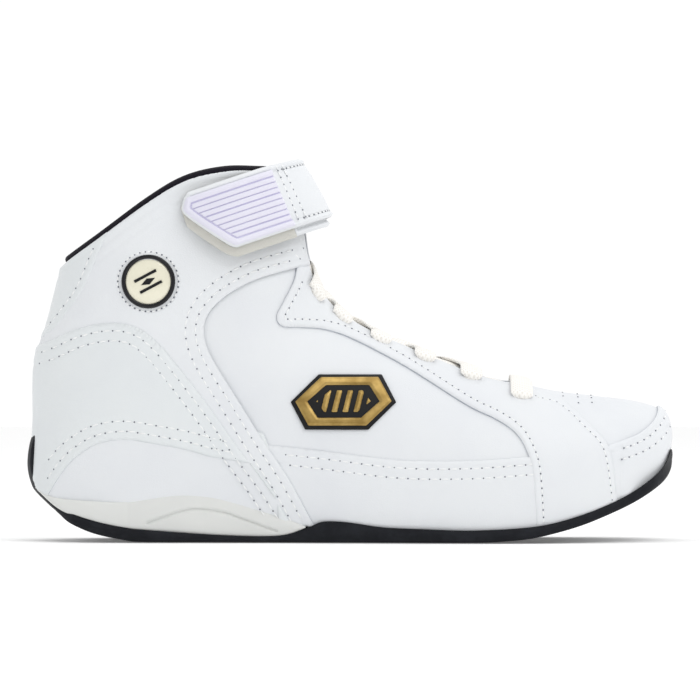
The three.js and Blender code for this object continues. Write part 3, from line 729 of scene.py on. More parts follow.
def bead_shape(sides, rings):
    """A unit sphere's points and faces, for threads and for the painted shade of needle holes."""
    points = [(0, 0, 1)]
    for ring in range(1, rings):
        tilt = math.pi * ring / rings
        for side in range(sides):
            turn = 2 * math.pi * side / sides
            points.append((math.sin(tilt) * math.cos(turn), math.sin(tilt) * math.sin(turn), math.cos(tilt)))
    points.append((0, 0, -1))
    faces = [(0, 1 + k, 1 + (k + 1) % sides) for k in range(sides)]
    for ring in range(rings - 2):
        first = 1 + ring * sides
        for k in range(sides):
            n = (k + 1) % sides
            faces.append((first + k, first + sides + k, first + sides + n, first + n))
    last = len(points) - 1
    first = last - sides
    faces += [(last, first + (k + 1) % sides, first + k) for k in range(sides)]
    return np.array(points), faces


BEAD_POINTS, BEAD_FACES = bead_shape(8, 6)


def beads(name, places, directions, normals, sizes, look):
    """Small rounded bodies along a seam, as one mesh."""
    points, faces = [], []
    for place, direction, normal in zip(places, directions, normals):
        across = unit(np.cross(normal, direction))
        axes = np.stack([direction * sizes[0], across * sizes[1], normal * sizes[2]])
        start = len(points) * len(BEAD_POINTS)
        points.append(place + BEAD_POINTS @ axes)
        faces += [[v + start for v in face] for face in BEAD_FACES]
    return make(name, np.concatenate(points), faces, look)


class Seam:
    """The places of all the stitches of one seam group, all of one pitch."""

    def __init__(self, pitch):
        self.pitch = pitch
        self.places, self.directions, self.normals = [], [], []

    def add(self, places, normals):
        directions = unit(np.gradient(places, axis=0))
        self.places.append(places)
        self.directions.append(directions)
        self.normals.append(normals)

    def build(self, name, body):
        places = np.concatenate(self.places)
        directions = np.concatenate(self.directions)
        normals = np.concatenate(self.normals)
        half_way = places + directions * self.pitch / 2
        lift = normals * 0.1
        stitch_size = (0.32 * self.pitch, 0.34, 0.24)
        hole_size = (HOLE_RADIUS, HOLE_RADIUS, 0.22)
        thread = beads(f"{name}_thread", half_way + lift, directions, normals, stitch_size, THREAD)
        # The holes are dark beads on the leather: painted shade where the thread goes in.
        hole_shade_beads = beads(f"{name}_holes", places + lift, directions, normals, hole_size, HOLE_PAINTED_SHADE)
        for made in (thread, hole_shade_beads):
            if body is None:
                bend_with_tab(made)
            belongs(made, body, "upper_leather")


long_seams = Seam(LONG_STITCH)
short_seams = Seam(SHORT_STITCH)
STITCH_SINK = 0.3


def stitch_row(seam, line, height, clear_of=0):
    """A row of stitches over a side-view line on each side of the foot, clear of its middle line."""
    places = resampled(line, seam.pitch)
    for hand in (-1, 1):
        spots, normals = over_place(places[:, 0], places[:, 1], hand)
        wave = rippled(spots[:, 0], spots[:, 2], hand)
        spots = spots + normals * (height - STITCH_SINK + wave)[:, None]
        aside = (spots[:, 1] - clear_of) * hand > 1.5
        if aside.sum() > 1:
            seam.add(spots[aside], normals[aside])


def between(line, x_low, x_high, z_low=-999, z_high=999):
    chosen = (line[:, 0] > x_low) & (line[:, 0] < x_high) & (line[:, 1] > z_low) & (line[:, 1] < z_high)
    return line[chosen]


for gap in ROWS:
    stitch_row(long_seams, between(beside(COLLAR_FRONT, -gap), -200, -8, 12), COLLAR_HEIGHT)
    stitch_row(long_seams, between(beside(COUNTER_EDGE, -gap), -143, 0, 14), COUNTER_HEIGHT)
    stitch_row(long_seams, between(beside(COUNTER_LOW, gap), -138, -58), COUNTER_HEIGHT)
    stitch_row(long_seams, between(beside(MUDGUARD_EDGE, -gap), -30, 81), MUD_HEIGHT)
    stitch_row(short_seams, between(beside(TOE_CAP_EDGE, -gap), 123.5, 160), CAP_HEIGHT, 6)
stitch_row(short_seams, between(beside(EYESTAY_EDGE, 3.5), -60, 120, 10, 120), VAMP_HEIGHT)
stitch_row(short_seams, between(beside(VAMP_FRONT, -2.6), 80, 140, 19, 90), VAMP_HEIGHT, 2)
stitch_row(long_seams, between(beside(HEEL_TAB_EDGE, -3.0), -138, -100, 0, 134), TAB_HEIGHT)
long_seams.build("seam_long", "root")
short_seams.build("seam_short", "root")

# Air holes over the toes, as small dark beads: painted shade where the holes are.
air_s, air_y = np.meshgrid((4.7, 4.4, 4.1), (-25.0, -16.0, -7.0, 7.0, 16.0, 25.0), indexing="ij")
air_y = air_y * (1 - 0.09 * (4.78 - air_s) / 0.32) + 1.5
air_places, air_normals = across_place(air_s.ravel(), air_y.ravel(), np.full(air_s.size, TOE_HEIGHT + 0.1))
air_ways = np.tile((1.0, 0.0, 0.0), (air_s.size, 1))
air_hole_shade_beads = beads("toe_box_air_hole_shade_beads", air_places, air_ways, air_normals, (0.4, 0.4, 0.2), HOLE_PAINTED_SHADE)
belongs(air_hole_shade_beads, "root", "upper_leather")

# ------------------------------------------------------------------ collar, lining, footbed

lining_throat = joined([(84, 0), (80, 16), (60, 26), (-80, 27)], [(-80, -27), (60, -26), (80, -16)])
lining_field = np.minimum(collar_room, -crown_field(lining_throat, -FAR))
lining = UPPER.piece(
    "lining_skin", lining_field, lambda edge: np.full(len(edge), -4.6), -6.2, LINING_CLOTH
)
belongs(lining, "root", "lining_fabric", "lining")


def swept(name, places, wide_ways, half_thick, half_wide, look, sides=14, squareness=0.82):
    """An oval roll along places, half_wide along the given ways and half_thick square to them."""
    along = unit(np.gradient(places, axis=0))
    wide_ways = unit(wide_ways - along * (wide_ways * along).sum(1, keepdims=True))
    thick_ways = np.cross(wide_ways, along)
    turn = np.arange(sides) / sides * 2 * np.pi
    half_thick = np.broadcast_to(half_thick, len(places))[:, None, None]
    half_wide = np.broadcast_to(half_wide, len(places))[:, None, None]
    cos = (np.sign(np.cos(turn)) * np.abs(np.cos(turn)) ** squareness)[:, None]
    sin = (np.sign(np.sin(turn)) * np.abs(np.sin(turn)) ** squareness)[:, None]
    ring = places[:, None] + thick_ways[:, None] * half_thick * cos + wide_ways[:, None] * half_wide * sin
    faces = tube_faces(len(places), sides)
    reach = np.concatenate([[0], np.cumsum(np.linalg.norm(np.diff(places, axis=0), axis=1))])
    across = half_wide[:, 0, 0, None] * np.sin(turn)[None]
    uvs = np.stack([across, np.broadcast_to(reach[:, None], across.shape)], -1).reshape(-1, 2) * MM
    return make(name, ring.reshape(-1, 3), faces, look, uvs=uvs)


# The collar's rolled edge runs from the throat, round the back and to the throat again.
collar_side = resampled(between(COLLAR_ROLL_LINE, -133.2, -26), 2.0)
outer_run, outer_out = over_place(collar_side[:, 0], collar_side[:, 1], -1)
inner_run, inner_out = over_place(collar_side[:, 0], collar_side[:, 1], 1)
ahead_keep = np.abs(outer_run[:, 1]) > 7
run = np.concatenate([outer_run[ahead_keep][::-1], inner_run[ahead_keep]])
out = np.concatenate([outer_out[ahead_keep][::-1], inner_out[ahead_keep]])
level = out * (1, 1, 0.2)
roll_places = run - unit(level) * 2.6
smooth_run = roll_places.copy()
smooth_run[1:-1] = (roll_places[:-2] + roll_places[1:-1] * 2 + roll_places[2:]) / 4
smooth_run = resampled(smooth_run, 2.0)
near = np.linalg.norm(smooth_run[:, None] - roll_places[None], axis=-1).argmin(1)
upright = np.cross(unit(np.gradient(smooth_run, axis=0)), unit(level)[near])
roll = swept("collar_roll", smooth_run, upright, 3.6, 2.0, LINING_CLOTH)
belongs(roll, "root", "lining_fabric", "collar_binding")


def plan_half(x, hand):
    """The half width of the sole's outline at x, rounded off at the heel."""
    x = np.asarray(x, float)
    s = np.linspace(0, 11, 600)
    tuck = through(TUCK_OUTER if hand < 0 else TUCK_INNER, s)
    edge_x = through(BASE_X, s)
    half = through(HALF, s) * np.sqrt(1 - tuck)
    front = np.interp(x, edge_x[::-1], half[::-1])
    toe_start, toe_reach = 128.0, 20.6
    toe_round = np.sqrt(np.clip(1 - (np.clip(x - toe_start, 0, toe_reach) / toe_reach) ** 2.1, 0, 1))
    front = np.where(x > toe_start, np.interp(toe_start, edge_x[::-1], half[::-1]) * toe_round, front)
    heel_start, heel_reach = -101.0, 46.5
    round_off = np.sqrt(np.clip(1 - (np.clip(heel_start - x, 0, heel_reach) / heel_reach) ** 2.4, 0, 1))
    return front * np.where(x < heel_start, round_off, 1)


def plan_middle(x):
    s = np.linspace(0, 11, 600)
    return np.interp(x, through(BASE_X, s)[::-1], through(MIDDLE, s)[::-1])


def base_line(x):
    s = np.linspace(0, 12, 600)
    return np.interp(x, through(BASE_X, s)[::-1], through(BASE_Z, s)[::-1])


def footbed_mesh():
    """A moulded footbed: dished at the heel, with a raised arch and a rounded edge."""
    x = np.linspace(-129, 131, 150)[:, None]
    share = np.linspace(-1, 1, 41)[None]
    half = np.where(share > 0, np.maximum(plan_half(x, 1) - 8.5, 1), np.maximum(plan_half(x, -1) - 8.5, 1))
    y = plan_middle(x) + share * half
    cup = 2.2 * np.abs(share) ** 4 * np.clip((-x - 10) / 60, 0, 1)
    arch = 3.0 * np.clip(share, 0, 1) ** 3 * np.exp(-(((x + 15) / 35) ** 2))
    floor_z = base_line(x) + arch
    x = np.broadcast_to(x, y.shape)
    upper = np.stack([x, y, floor_z + 10.2 - 1.4 * np.abs(share) ** 8 + cup], -1)
    lower = np.stack([x, y, floor_z + 6.8], -1)
    return loft("footbed_skin", np.concatenate([upper, lower[:, ::-1]], axis=1), LINING_CLOTH)


belongs(footbed_mesh(), "root", "lining_fabric", "footbed")

# ------------------------------------------------------------------ tongue

tongue_plan = joined(
    smooth([(76, 0), (75, 14), (56, 26), (30, 29), (-80, 29)]),
    smooth([(-80, -29), (30, -29), (56, -26), (75, -14), (76, 0)]),
)
TONGUE_TOP = 168.5
tongue_field = np.minimum(crown_field(tongue_plan, -FAR), TONGUE_TOP - UPPER.z)
channels = np.exp(-((np.mod(UPPER.z + UPPER.x * 0.35 + 4, 17.0) - 8.5) / 1.1) ** 2)
tongue = UPPER.piece(
    "tongue_skin",
    tongue_field,
    lambda edge: -9.4 + 2.8 * (1 - np.exp(-edge / 3.5)),
    lambda edge: -9.4 - 1.6 * (1 - np.exp(-edge / 3.5)),
    TONGUE_CLOTH,
    extra=-0.7 * channels,
)
belongs(tongue, "tongue", "tongue_fabric", "tongue")

# ------------------------------------------------------------------ lace

LACE_HALF_WIDTH = 5.2
LACE_HALF_THICK = 1.05


def lace_piece(name, marks):
    """A flat lace through marks of (station, across, height over the leather, share of its width)."""
    line = smooth(marks, 8)
    places, _ = across_place(line[:, 0], line[:, 1], line[:, 2])
    along_foot, _ = across_place(line[:, 0] + 0.05, line[:, 1], line[:, 2])
    even = resampled(np.column_stack([places, along_foot - places, line[:, 3]]), 0.7)
    spots, wide_ways, share = even[:, :3], unit(even[:, 3:6]), even[:, 6]
    spots[1:-1] = (spots[:-2] + spots[1:-1] * 2 + spots[2:]) / 4
    thick = LACE_HALF_THICK * (1 + 0.7 * (1 - share))
    made = swept(name, spots, wide_ways, thick, LACE_HALF_WIDTH * share, LACE_COTTON, 22)
    belongs(made, "root", "lace_cotton", "lace")


def through_hole(station, hand, out):
    """Up through an eyelet, opening to the full width as it lies down toward the throat."""
    return [
        (station, hand * (out + 0.2), -3.4, 0.4),
        (station, hand * (out + 1.0), 0.1, 0.66),
        (station, hand * (out + 1.4), 1.4, 0.92),
        (station, hand * (out + 0.4), 2.0, 1.0),
        (station, hand * (out - 2.4), 1.9, 1.0),
    ]


def crossing(first_hand, lift):
    """One half of the lace: over the eyestay at each eyelet and under the opposite one."""
    marks = [(EYELETS[0][0], -first_hand * EYELETS[0][1], -3.4, 0.6)]
    marks.append((EYELETS[0][0] + 0.2, -first_hand * 9, -2.6, 0.9))
    hand = first_hand
    for k, (station, out) in enumerate(EYELETS[1:]):
        following = EYELETS[k + 2] if k + 2 < len(EYELETS) else (station + 0.7, out)
        climb = following[0] - station
        marks += through_hole(station, hand, out)
        marks.append((station + climb * 0.02, hand * out * 0.5, 1.6, 1.0))
        marks.append((station + climb * 0.25, 0.0, lift, 1.0))
        marks.append((station + climb * 0.62, hand * -out * 0.42, -1.4, 1.0))
        marks.append((station + climb * 0.9, hand * -out * 0.8, -3.4, 0.8))
        hand = -hand
    return marks


def bar_across():
    """The lace's straight bar between the two eyelets nearest the toe."""
    station, out = EYELETS[0]
    middle = [(station, -9, 1.7, 1.0), (station, 0, 1.5, 1.0), (station, 9, 1.7, 1.0)]
    return through_hole(station, -1, out) + middle + through_hole(station, 1, out)[::-1]


lace_piece("lace_first", crossing(-1, 0.5))
lace_piece("lace_second", crossing(1, -0.9))
lace_piece("lace_bar", bar_across())

# ------------------------------------------------------------------ sole unit

TREAD_LINE = smooth([
    (-145.4, 53), (-148.4, 45), (-149.6, 35), (-148, 26.5), (-144.6, 21), (-133.4, 11.3), (-119.6, 4.5),
    (-104, 0.9), (-94, 0), (-60, 0), (-20, 0), (20, 0), (56, 0), (70, 0.6), (84, 2.2), (103, 7),
    (119, 13.1), (131, 18.8), (142.6, 26.5), (147.4, 32.5), (148.7, 38.6), (148.5, 41.6),
], 12)
RIM_LINE = smooth([
    (-145.5, 53), (-146.8, 45), (-147.2, 37), (-146.4, 30), (-143, 23), (-133, 15.2), (-118.7, 9.9),
    (-103.5, 6.6), (-92, 5.4), (-58.4, 3.2), (-33, 3), (-20, 6.6), (-13, 9.4), (-2, 9.2), (14, 7),
    (31.7, 6.2), (55.5, 5.6), (83.3, 7.3), (103, 11.8), (121.3, 18.8), (134, 26), (143.6, 34), (147.7, 41.8),
], 12)

# How far the outsole stands out past the upper, and the most that it is thick.
WELT, THICKEST = 2.0, 14
# The tab behind the heel, and the radius of its bend around the heel, doubled.
TAB_HALF_WIDTH, TAB_CURVE = 12.5, 67.0
# The bars across the tread.
BAR_PITCH, BAR_HEIGHT = 6.0, 1.0


def outsole_mesh():
    """The rubber outsole: a slab along the ground line, turned up as a tab behind the heel."""
    at = np.linspace(0, 1, 430)
    low = resampled(TREAD_LINE, 0.1)
    low = np.stack([np.interp(at, np.linspace(0, 1, len(low)), low[:, k]) for k in (0, 1)], -1)
    rim = resampled(RIM_LINE, 0.1)
    slope = unit(np.gradient(low, axis=0))
    across = np.sin(np.linspace(-1, 1, 61) * np.pi / 2)
    rows = []
    for k, (x, z) in enumerate(low):
        ahead = rim - (x, z)
        normal = np.array([-slope[k, 1], slope[k, 0]])
        reach = ahead @ normal
        off_line = np.where((reach < 0) | (reach > THICKEST), FAR, np.abs(ahead @ slope[k]))
        high_x, high_z = (x, z) + normal * reach[off_line.argmin()]
        tab = eased(float(np.clip((z - 8) / 17, 0, 1))) if x < -100 else 0.0
        closing = math.sqrt(max(1 - max((z - 46.5) / 6.7, 0) ** 2, 0.02))
        tab_half = (TAB_HALF_WIDTH - (z - 21) * 0.08) * closing
        halves = {}
        welt = WELT - 0.3 * np.clip((x - 50) / 60, 0, 1)
        for hand in (-1, 1):
            flat_half = plan_half(np.clip((x, high_x), -146.8, 148.5), hand) + welt
            halves[hand] = flat_half * (1 - tab) + tab_half * tab
        middle = float(plan_middle(np.clip(x, -146, 147)))
        bar = math.exp(-(((k * 0.72) % BAR_PITCH - BAR_PITCH / 2) / 0.9) ** 4)
        bars = BAR_HEIGHT * bar * (1 - min(abs(slope[k, 1]) * 1.4, 1))
        ring = []

        def add(climb, share, lift=0.0, wider=0.0):
            """A point of this section, climb from the tread line to the rim line."""
            low_half, high_half = halves[1 if share > 0 else -1]
            y = share * (low_half + (high_half - low_half) * climb)
            px = x + (high_x - x) * climb + tab * y * y / TAB_CURVE
            ring.append((px, middle + y + np.sign(share) * wider, z + (high_z - z) * climb + lift))

        for share in across:
            add(0.0, share * 0.985, bars if 0.08 < abs(share) < 0.9 else 0.0)
        add(0.3, 1.0, wider=0.5)
        add(0.7, 1.0, wider=0.5)
        for share in across[::-1]:
            add(1.0, share)
        add(0.7, -1.0, wider=0.5)
        add(0.3, -1.0, wider=0.5)
        rows.append(ring)
    return loft("outsole_skin", np.array(rows), SOLE_RUBBER)


belongs(keep_edges(outsole_mesh(), 50), "root", "sole_rubber", "outsole")

WEDGE_TOP = smooth([
    (-145.5, 24.8), (-140, 21.6), (-133.9, 19.8), (-119.6, 18.6), (-103.5, 18.2), (-92.2, 19.6), (-81, 21.4),
    (-72.5, 22), (-62.1, 21.4), (-52.9, 19.1), (-41.4, 15), (-31.3, 11.3), (-20.5, 7.2),
])
WEDGE_LOW = smooth([
    (-145.5, 24.4), (-133.4, 14.6), (-118.7, 9.4), (-103.5, 6.1), (-81, 4.6), (-58.4, 2.9), (-33, 2.6),
    (-20.5, 6.6),
])
WEDGE_GROOVE = smooth([
    (-93, 8.5), (-85, 11.5), (-77.3, 14), (-70.6, 15), (-58.4, 13.6), (-49, 10.4), (-34, 5),
])


def wedge_mesh():
    """The foam heel wedge, with a curved groove on each side."""
    along = np.linspace(-145.2, -20.8, 330)
    heights = np.linspace(0, 1, 33)
    low = np.interp(along, WEDGE_LOW[:, 0], WEDGE_LOW[:, 1])[:, None]
    high = np.interp(along, WEDGE_TOP[:, 0], WEDGE_TOP[:, 1])[:, None]
    sides = []
    for hand, order in ((1, heights), (-1, heights[::-1])):
        x = np.broadcast_to(along[:, None], (len(along), len(order)))
        z = low + (high - low) * order
        half = plan_half(x, hand) + 1.8 - 0.7 * np.abs(order * 2 - 1) ** 6 + 0.8 * np.sin(np.pi * order)
        half = half - 1.1 * np.exp(-((line_distance(WEDGE_GROOVE, x, z) / 0.55) ** 2))
        sides.append(np.stack([x, plan_middle(x) + hand * half, z], -1))
    return loft("heel_wedge_skin", np.concatenate(sides, axis=1), WEDGE_FOAM)


belongs(keep_edges(wedge_mesh(), 50), "root", "wedge_foam", "heel_wedge")

# ------------------------------------------------------------------ strap

STRAP_RISE = math.radians(19)
STRAP_BACK, STRAP_REACH, STRAP_HALF_WIDTH = -25.0, 65.5, 42.0
STRAP_LOW, STRAP_HIGH = 144.0, 175.0
RISE_COS, RISE_SIN = math.cos(STRAP_RISE), math.sin(STRAP_RISE)
# Millimetres of strap in a radian, about.
STRAP_ROUND = 56


def strap_point(angle, up, out=0.0):
    """A point of the strap's outer face, lifted by out. Its upper edge draws in across the front."""
    angle, up = np.broadcast_arrays(np.asarray(angle, float), np.asarray(up, float))
    normal = unit(np.stack([STRAP_HALF_WIDTH * np.cos(angle), STRAP_REACH * np.sin(angle)], -1))
    front = eased(np.clip((np.cos(angle) - 0.6) / 0.4, 0, 1))
    draw_in = (up - STRAP_LOW) / (STRAP_HIGH - STRAP_LOW) * front
    along = STRAP_BACK + STRAP_REACH * np.cos(angle) + normal[..., 0] * out - 5.5 * draw_in
    y = STRAP_HALF_WIDTH * np.sin(angle) + normal[..., 1] * out
    up = up - 0.8 * draw_in
    return np.stack([along * RISE_COS - up * RISE_SIN, y, along * RISE_SIN + up * RISE_COS], -1)


def strap_normal(angle, up):
    return unit(strap_point(angle, up, 1.0) - strap_point(angle, up, 0.0))


strap_angles = np.radians(np.linspace(-89, 89, 320))[:, None]
strap_ups = np.linspace(STRAP_LOW - 6, STRAP_HIGH + 1, 96)[None, :]
STRAP = Patch(strap_point(strap_angles, strap_ups), strap_normal(strap_angles, strap_ups), False)
strap_along = np.broadcast_to(STRAP_BACK + STRAP_REACH * np.cos(strap_angles), STRAP.x.shape)
strap_up = np.broadcast_to(strap_ups, STRAP.x.shape)
strap_angle = np.broadcast_to(strap_angles, STRAP.x.shape)

TAB_TIP = [(-18.5, STRAP_HIGH), (-22.3, 171), (-22.6, 165), (-9, 147), (-5, STRAP_LOW)]
tab_outline = joined([(90, STRAP_HIGH)], smooth(TAB_TIP, 6), [(90, STRAP_LOW)])
tab_shape = np.where(strap_angle < 0, inside(tab_outline, strap_along, strap_up), FAR)
band = np.minimum(strap_up - STRAP_LOW, STRAP_HIGH - strap_up)


def piping_top(height):
    """A padded leather band with a fuller bound edge."""

    def top(edge):
        rise = rounded(edge, 1.6)
        bound = 0.5 * np.exp(-(((edge - 1.4) / 0.9) ** 2))
        furrow = 0.35 * np.exp(-(((edge - 3.2) / 0.7) ** 2))
        swell = 0.5 * np.clip((edge - 3.5) / 6, 0, 1)
        return height - 1.3 * (1 - rise) + bound - furrow + swell

    return top


SEAM_ANGLE = math.radians(11)
behind_seam = np.where(strap_angle < SEAM_ANGLE, STRAP_ROUND * (SEAM_ANGLE - strap_angle), -9)
tab_field = np.minimum(np.minimum(band, tab_shape), behind_seam)
tab_band = STRAP.piece("strap_front_band", tab_field, piping_top(0.4), -2.4, WHITE_LEATHER, under=CREAM_CLOTH)
belongs(tab_band, None, "upper_leather", "strap_tab")
under_front = eased(np.clip((math.radians(26) - strap_angle) / math.radians(24), 0, 1))
anchor_field = np.minimum(strap_up - STRAP_LOW + 3.8 * under_front, STRAP_HIGH - 2.5 * under_front - strap_up)
anchor_field = np.minimum(anchor_field, STRAP_ROUND * (strap_angle + math.radians(43)))
anchor_field = np.minimum(anchor_field, STRAP_ROUND * (math.radians(88) - strap_angle))
anchor_band = STRAP.piece(
    "strap_inner_band", anchor_field, piping_top(-0.4), -2.8, WHITE_LEATHER, under=CREAM_CLOTH,
    extra=-2.7 * under_front,
)
belongs(anchor_band, None, "upper_leather", "strap_wrap", "strap_anchor")


def bend_with_tab(made):
    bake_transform(made)


bend_with_tab(tab_band)
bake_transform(anchor_band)

# The ribbed grip on the tab: a raised border, and ribs between grooves.
GRIP_END = 22.0
grip_angles = np.radians(np.linspace(-89, -40, 150))[:, None]
grip_ups = np.linspace(STRAP_LOW - 0.5, STRAP_HIGH + 0.5, 128)[None, :]
GRIP = Patch(strap_point(grip_angles, grip_ups), strap_normal(grip_angles, grip_ups), False)
grip_along = np.broadcast_to(STRAP_BACK + STRAP_REACH * np.cos(grip_angles), GRIP.x.shape)
grip_up = np.broadcast_to(grip_ups, GRIP.x.shape)


def grip_room(end):
    """How far inside the grip's outline each place is, with its straight end at end."""
    outline = joined([(end, STRAP_HIGH)], smooth(TAB_TIP, 6), [(end + 1.5, STRAP_LOW)])
    return np.minimum(inside(outline, grip_along, grip_up) - 0.9, STRAP_HIGH - 2.3 - grip_up)


grip_field = grip_room(GRIP_END)
rib_room = grip_room(GRIP_END + 3.6)
rib_place = (grip_up - STRAP_LOW - 4.0) / ((STRAP_HIGH - STRAP_LOW - 9.4) / 8)
groove = np.exp(-(((rib_place - np.round(rib_place)) / 0.1) ** 2))
groove *= 1 / (1 + np.exp(-(rib_room - 3.4) / 0.2))
moat = np.exp(-(((rib_room - 3.1) / 0.42) ** 2))
sunk = 0.5 / (1 + np.exp(-(rib_room - 3.0) / 0.3))
# A darker copy of the grip rubber, laid in the grooves and the moat round the ribs: painted shade in the
# recesses.
GRIP_GROOVE_PAINTED_SHADE = foam("grip_groove_painted_shade_look", (0.6, 0.58, 0.76), (0.54, 0.52, 0.7))


grip = GRIP.piece(
    "grip_patch_skin", grip_field, lambda edge: 1.2 + 1.5 * rounded(edge, 1.5), 0.4, GRIP_RUBBER,
    marked=(GRIP_GROOVE_PAINTED_SHADE, np.maximum(groove - 0.42, moat - 0.45)), extra=-sunk - 0.7 * np.maximum(groove, moat),
)
belongs(grip, "strap_tab", "grip_rubber", "grip_patch")

# The hook tape under the tab, showing below it.
HOOK_DROP = 4.2
hook_outline = joined(
    [(24, STRAP_HIGH - 2)],
    smooth([
        (-20, STRAP_HIGH - 2), (-24.5, 168), (-24.2, 161), (-11.5, 144.0), (-5.6, STRAP_LOW - HOOK_DROP),
    ], 6),
    [(24, STRAP_LOW - HOOK_DROP)],
)
hook_field = np.where(strap_angle < math.radians(-42), inside(hook_outline, strap_along, strap_up), -FAR)
hook = STRAP.piece(
    "hook_pad_skin", hook_field, lambda edge: -2.5 - 0.5 * np.exp(-edge / 0.8), -4.2, CREAM_CLOTH
)
belongs(hook, "strap_tab", "hook_tape", "hook_pad")

loop_places = [(-20, 163), (-9, 147), (16, 147), (16, 171), (-16, 171)]
loop_outline = np.array([(p * RISE_COS - q * RISE_SIN, p * RISE_SIN + q * RISE_COS) for p, q in loop_places])
loop_field = np.minimum(inside(loop_outline, UPPER.x, UPPER.z), -UPPER.y)
loop = UPPER.piece(
    "loop_pad_skin", loop_field, lambda edge: 1.95 - 0.5 * np.exp(-edge / 0.8), 0.6, CREAM_CLOTH
)
belongs(loop, "root", "hook_tape", "loop_pad")


def strap_row(seam, angles, ups, out):
    spots = strap_point(angles, ups, out)
    even = resampled(np.column_stack([spots, strap_normal(angles, ups)]), seam.pitch)
    seam.add(even[:, :3], unit(even[:, 3:]))


front_seam = Seam(SHORT_STITCH)
row_angles = np.radians(np.linspace(-36, 9, 60))
for up in (STRAP_LOW + 3.2, STRAP_HIGH - 3.2):
    strap_row(front_seam, row_angles, np.full(60, up), 0.2)
row_ups = np.linspace(STRAP_LOW + 3.4, STRAP_HIGH - 3.4, 40)
strap_row(front_seam, np.full(40, SEAM_ANGLE - math.radians(3.2)), row_ups, 0.6)
for along in (24.9, 28.6):
    turn = -math.acos((along - STRAP_BACK) / STRAP_REACH)
    strap_row(front_seam, np.full(40, turn), row_ups, 0.75)
front_seam.build("strap_front", None)

# ------------------------------------------------------------------ badge and emblem

BADGE_BLACK = fine_grained(
    "badge_black_look", (0.004, 0.004, 0.006), 0.3, 900.0, 0.02, 0.3, specular=0.3, coat=0.15
)
BADGE_IVORY = fine_grained("badge_ivory_look", (0.8, 0.77, 0.62), 0.2, 500.0, 0.02, 0.3, coat=0.7)
EMBLEM_GOLD = material("emblem_gold_look", (0.55, 0.36, 0.1), 0.38, metallic=0.7)
gold_detail = Detail(EMBLEM_GOLD)
gold_detail.colour(gold_detail.noise(160.0, 4.0), (0.35, (0.3, 0.19, 0.05)), (0.65, (0.5, 0.34, 0.11)))
gold_detail.bump(gold_detail.noise(1200.0, 2.0), 0.06, 0.5)
EMBLEM_BLACK = fine_grained("emblem_black_look", (0.005, 0.005, 0.006), 0.5, 1500.0, 0.05, 0.5, specular=0.25)

BADGE_X, BADGE_Z = -92.5, 118.8


def badge_frame():
    centre, normal = over_place(np.array([BADGE_X]), np.array([BADGE_Z]), -1)
    centre, normal = centre[0], normal[0]
    right = unit(np.cross((0, 0, 1.0), normal)) * -1
    return centre, normal, right, np.cross(normal, right)


badge_centre, badge_out, badge_right, badge_up = badge_frame()


def turned(name, profile, look, steps=72):
    """A turned body on the badge's axis from (radius, height) pairs."""
    points = []
    for k in range(steps):
        turn = 2 * math.pi * k / steps
        way = badge_right * math.cos(turn) + badge_up * math.sin(turn)
        points += [badge_centre + way * r + badge_out * h for r, h in profile]
    count = len(profile)
    faces = []
    for k in range(steps):
        n = (k + 1) % steps
        for r in range(count - 1):
            faces.append((k * count + r, k * count + r + 1, n * count + r + 1, n * count + r))
    return make(name, points, faces, look)


ring_section = [(10.4, -2.0)]
ring_section += [(11.35 - 0.95 * math.cos(t), 1.6 + 0.7 * math.sin(t)) for t in np.linspace(0, math.pi, 12)]
ring_section += [(12.3, -2.0), (10.4, -2.0)]
badge_ring = turned("badge_ring_skin", ring_section, BADGE_BLACK)
dome_section = [(0.0, -2.0), (10.3, -2.0), (10.3, 1.3)]
dome_section += [(10.3 * math.cos(t), 1.3 + 1.2 * math.sin(t)) for t in np.linspace(0.05, math.pi / 2, 12)]
badge_dome = turned("badge_dome_skin", dome_section, BADGE_IVORY)
belongs(badge_ring, "root", "badge_black", "badge_ring")
belongs(badge_dome, "root", "badge_ivory", "badge_dome")


def raised_shape(name, corners, height, thickness, look):
    """A flat shape on the badge's face, from corners in its plane."""
    points = []
    for level in (height, height - thickness):
        points += [badge_centre + badge_right * a + badge_up * b + badge_out * level for a, b in corners]
    count = len(corners)
    faces = [list(range(count)), [count + k for k in reversed(range(count))]]
    faces += [(k, (k + 1) % count, count + (k + 1) % count, count + k) for k in range(count)]
    return make(name, points, faces, look)


def device():
    """A plain sign on the badge: two bars and a diamond, leaning."""
    lean = math.radians(28)
    bars = [
        [(-5.6, 2.2), (5.6, 2.2), (5.6, 3.5), (-5.6, 3.5)],
        [(-5.6, -3.5), (5.6, -3.5), (5.6, -2.2), (-5.6, -2.2)],
        [(-3.6, 0), (0, -1.5), (3.6, 0), (0, 1.5)],
    ]
    for k, bar in enumerate(bars):
        corners = [
            (a * math.cos(lean) - b * math.sin(lean), a * math.sin(lean) + b * math.cos(lean)) for a, b in bar
        ]
        made = keep_edges(raised_shape(f"badge_mark_{k + 1}", corners, 2.65, 1.5, BADGE_BLACK), 30)
        belongs(made, "root", "badge_black")


device()
badge_seam = Seam(BADGE_STITCH)
turns = np.linspace(0, 2 * math.pi, 35)
round_badge = np.cos(turns)[:, None] * badge_right + np.sin(turns)[:, None] * badge_up
circle = badge_centre[None] + 13.7 * round_badge
spots, normals = over_place(circle[:, 0], circle[:, 2], -1)
badge_seam.add(spots + normals * (COLLAR_HEIGHT + 0.05), normals)
badge_seam.build("badge_seam", "root")

EMBLEM_X, EMBLEM_Z = -3.5, 64.0


def emblem_outline(half, tall):
    flat = half * 0.6
    corners = [(-half, 0), (-flat, tall), (flat, tall), (half, 0), (flat, -tall), (-flat, -tall)]
    return np.array([(EMBLEM_X + x + z * 0.25, EMBLEM_Z + z) for x, z in corners])


emblem_x, emblem_z = np.meshgrid(np.arange(-34, 28.55, 0.55), np.arange(48, 80.55, 0.55), indexing="ij")
EMBLEM = Patch(*over_place(emblem_x, emblem_z, -1), False)


def emblem_room(half, tall):
    return inside(emblem_outline(half, tall), EMBLEM.x, EMBLEM.z)


